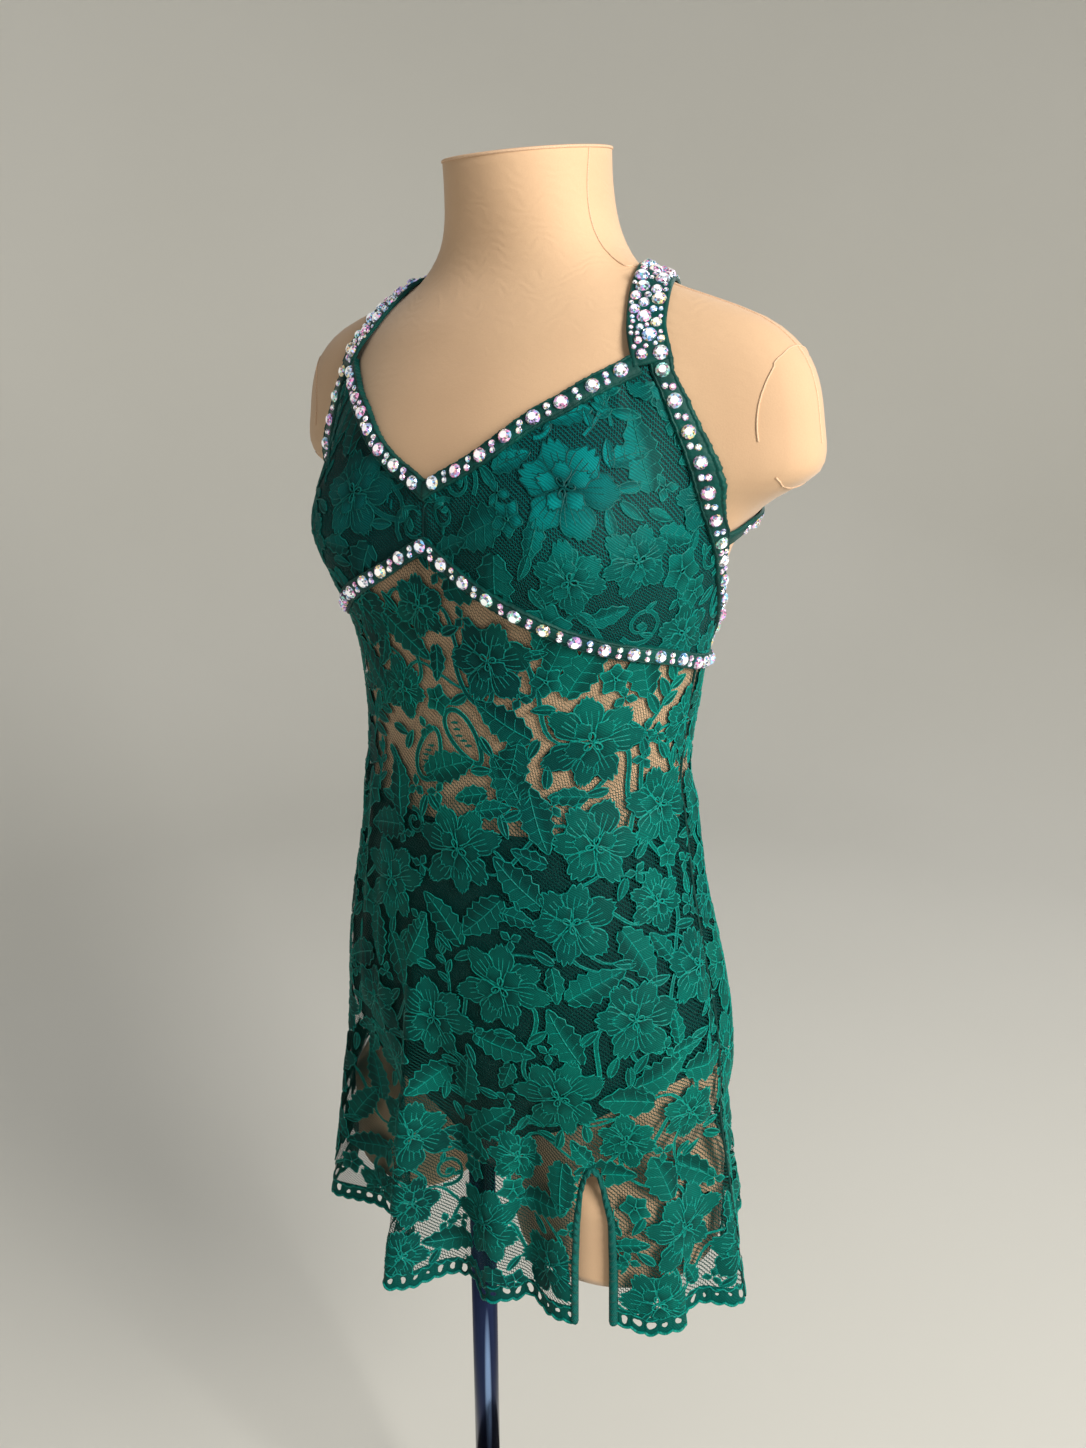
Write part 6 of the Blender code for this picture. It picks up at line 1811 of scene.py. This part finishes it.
def set_stones(name, settings, seed):
    """One mesh of many stones, each given as (place, normal, along, radius)."""
    pick = random.Random(seed)
    points, faces, colours, base = [], [], [], 0
    for here, normal, along, radius in settings:
        large = radius > 0.003
        flat, some_faces = crystal(radius, min(STONE_HEIGHT, radius * 0.66), 12 if large else 8)
        normal = unit(normal)
        tip = np.array([pick.uniform(-0.09, 0.09) for _ in range(3)])
        normal = unit(normal + tip)
        side = unit(np.cross(along, normal))
        ahead = np.cross(normal, side)
        turn = pick.uniform(0, 6.283)
        c, s = math.cos(turn), math.sin(turn)
        x, y = flat[:, :1] * c - flat[:, 1:2] * s, flat[:, :1] * s + flat[:, 1:2] * c
        points.append(here + side * x + ahead * y + normal * flat[:, 2:])
        faces += [[base + i for i in face] for face in some_faces]
        mood = pick.choice(GLINTS)
        for number, face in enumerate(some_faces):
            own = pick.choice(GLINTS)
            share = pick.choice((0.0, 0.5, 1.0, 1.0))
            # Painted glints: each facet gets a random brightness, and the table a bright white
            painted_light = pick.choice((0.18, 0.55, 0.9, 1.15))
            if number == len(some_faces) - 2:
                own, share, painted_light = GLINTS[1], 0.85, 1.25
            colours += [[(m * (1 - share) + o * share) * painted_light for m, o in zip(mood, own)] + [1.0]] * len(face)
        base += len(flat)
    made = piece(name, np.vstack(points), faces, [crystal_finish], "binding_cloth", smooth=False)
    noted = made.data.color_attributes.new("facet_colour_and_painted_glint", "FLOAT_COLOR", "CORNER")
    noted.data.foreach_set("color", np.array(colours, np.float32).ravel())
    return made


END_ROOM = {"neck": 0.009, "arm": 0.010, "band": 0.006}
for name, (line, normals, across) in strip_middles.items():
    length = np.linalg.norm(np.diff(line, axis=0), axis=1).sum()
    ends = END_ROOM[name.split("_")[0]]
    count = round((length - 2 * ends) / STONE_PITCH)
    wanted = np.linspace(ends, length - ends, count + 1)
    along = np.gradient(line, axis=0)
    wide = unit(across)
    pick = random.Random(sum(map(ord, name)))
    settings = []
    runs = lengths_along(line)
    big = [at_lengths(wanted, runs, values) for values in (line, normals, along, wide)]
    for here, normal, ahead, side in zip(*big):
        shift = side * pick.uniform(-0.0005, 0.0005) + unit(ahead) * pick.uniform(-0.0006, 0.0006)
        settings.append((here + shift - normal * 0.0001, normal, ahead, STONE_RADIUS * pick.uniform(0.94, 1.03)))
    halfway = (wanted[1:] + wanted[:-1]) / 2
    between_big = [at_lengths(halfway, runs, values) for values in (line, normals, along, wide)]
    for here, normal, ahead, side in zip(*between_big):
        for sign in (-1, 1):
            apart = SMALL_STONE_APART * sign + pick.uniform(-0.0002, 0.0002)
            spot = here + side * apart + unit(ahead) * pick.uniform(-0.0007, 0.0007) - normal * SUNK
            settings.append((spot, normal, ahead, SMALL_STONE_RADIUS * pick.uniform(0.92, 1.1)))
    set_stones(name.replace("_cloth", "_crystals"), settings, len(settings))

for name, (line, normals, across, half, length) in straps.items():
    pick = random.Random(404 if name == "left" else 405)
    runs = lengths_along(line)
    along = np.gradient(line, axis=0)
    settings, taken = [], []
    wide_until = float(runs[np.nonzero(half > 0.0078)[0][-1]])

    def set_one(at, shift, radius):
        here, normal, ahead, side = (at_lengths([at], runs, values)[0] for values in (line, normals, along, across))
        settings.append((here + side * shift - normal * SUNK, normal, ahead, radius))
        taken.append((at, shift, radius))

    for radius, tries in ((0.0042, 90), (0.0032, 260), (0.0023, 700), (0.0015, 1500)):
        for _ in range(tries):
            at = pick.uniform(0.004, wide_until)
            room = float(np.interp(at, runs, half)) - radius - 0.0006
            shift = pick.uniform(-room, room)
            if all((at - a) ** 2 + (shift - s) ** 2 > (radius + r + 0.00018) ** 2 for a, s, r in taken):
                set_one(at, shift, radius)
    at = wide_until + 0.0075
    while at < runs[-1] - 0.012:
        # The left strap has no stones where the right one lies over it
        x, y = at_lengths([at], runs, line)[0, :2]
        hidden = name == "left" and abs(x) < 0.0085 and y > 0.05
        if not hidden:
            set_one(at, pick.uniform(-0.0004, 0.0004), STONE_RADIUS * pick.uniform(0.92, 1.0))
            if at + STONE_PITCH / 2 < runs[-1] - 0.010:
                for sign in (-1, 1):
                    halfway = at + STONE_PITCH / 2 + pick.uniform(-0.0007, 0.0007)
                    set_one(halfway, SMALL_STONE_APART * sign, SMALL_STONE_RADIUS)
        at += STONE_PITCH
    set_stones("strap_" + name + "_crystals", settings, len(settings))

# The stage: a pale seamless studio floor that sweeps up into a wall all round, a large soft window light from
# the camera's right, and two weak fills, one from the front and one from behind.
SWEEP_RADIUS = 3.4
SWEEP_CURVE = 1.3
SWEEP_HEIGHT = 4.2
SWEEP_STEPS = 96
profile = [(AXIS_GAP, 0.0), (SWEEP_RADIUS - SWEEP_CURVE, 0.0)]
for angle in np.linspace(0.15, 1.5708, 14):
    profile.append((SWEEP_RADIUS - SWEEP_CURVE * (1 - math.sin(angle)), SWEEP_CURVE * (1 - math.cos(angle))))
profile.append((SWEEP_RADIUS, SWEEP_HEIGHT))
turns = np.linspace(0, 2 * np.pi, SWEEP_STEPS, endpoint=False)
rings = [np.stack([r * np.cos(turns), r * np.sin(turns), np.full(SWEEP_STEPS, z)], 1) for r, z in profile]
paper, tree, shader = finish_of("studio_paper", Roughness=0.95)
spots = object_spots(tree)
wash = noise(tree, spots, 0.8, 2.0)
feed(shader, "Base Color", blended(tree, wash, (0.66, 0.65, 0.60, 1), (0.73, 0.72, 0.68, 1)))
sweep_faces = grid_faces(len(profile), SWEEP_STEPS, around=True)[:, ::-1]
sweep = meshed("studio_sweep", np.vstack(rings), sweep_faces, [paper])
sweep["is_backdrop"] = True


def soft_light(name, place_at, towards, size, power, colour):
    """A rectangular light that faces a place."""
    data = bpy.data.lights.new(name, "AREA")
    data.shape = "RECTANGLE"
    data.size, data.size_y = size
    data.energy = power
    data.color = colour
    light = put(name, data)
    light.location = place_at
    light.rotation_euler = (Vector(towards) - Vector(place_at)).to_track_quat("-Z", "Y").to_euler()


soft_light("window", (2.10, -0.45, 1.95), (0, 0, 0.95), (0.9, 1.3), 86.0, (1.0, 0.965, 0.90))
soft_light("front_fill", (-0.5, -2.5, 1.7), (0, 0, 0.9), (1.6, 1.6), 3.6, (0.84, 0.91, 1.0))
soft_light("back_fill", (0.4, 2.3, 2.1), (0, 0, 0.9), (1.8, 1.4), 12.0, (0.95, 0.96, 1.0))
world = bpy.data.worlds.new("studio_air")
world.use_nodes = True
air = world.node_tree.nodes["Background"].inputs
air["Color"].default_value = (0.78, 0.82, 0.90, 1)
air["Strength"].default_value = 0.235
bpy.context.scene.world = world
bpy.context.scene.view_settings.view_transform = "Standard"

# The camera stands at the photograph's place: in front, to the wearer's left and near the bust's height,
# looking down along the skirt.
CAMERA_TURN = 36.0
CAMERA_PITCH = 17.8
lens = bpy.data.cameras.new("photo_camera")
lens.lens = 27.02
lens.sensor_width = 36.0
lens.clip_start = 0.02
camera = put("photo_camera", lens)
camera.location = (0.4284, -0.5726, 1.18)
camera.rotation_euler = (math.radians(90 - CAMERA_PITCH), 0, math.radians(CAMERA_TURN))
bpy.context.scene.camera = camera

low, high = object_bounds()
sizes = {"cad": [list(cad_low), list(cad_high)], "visual": [list(low), list(high)]}
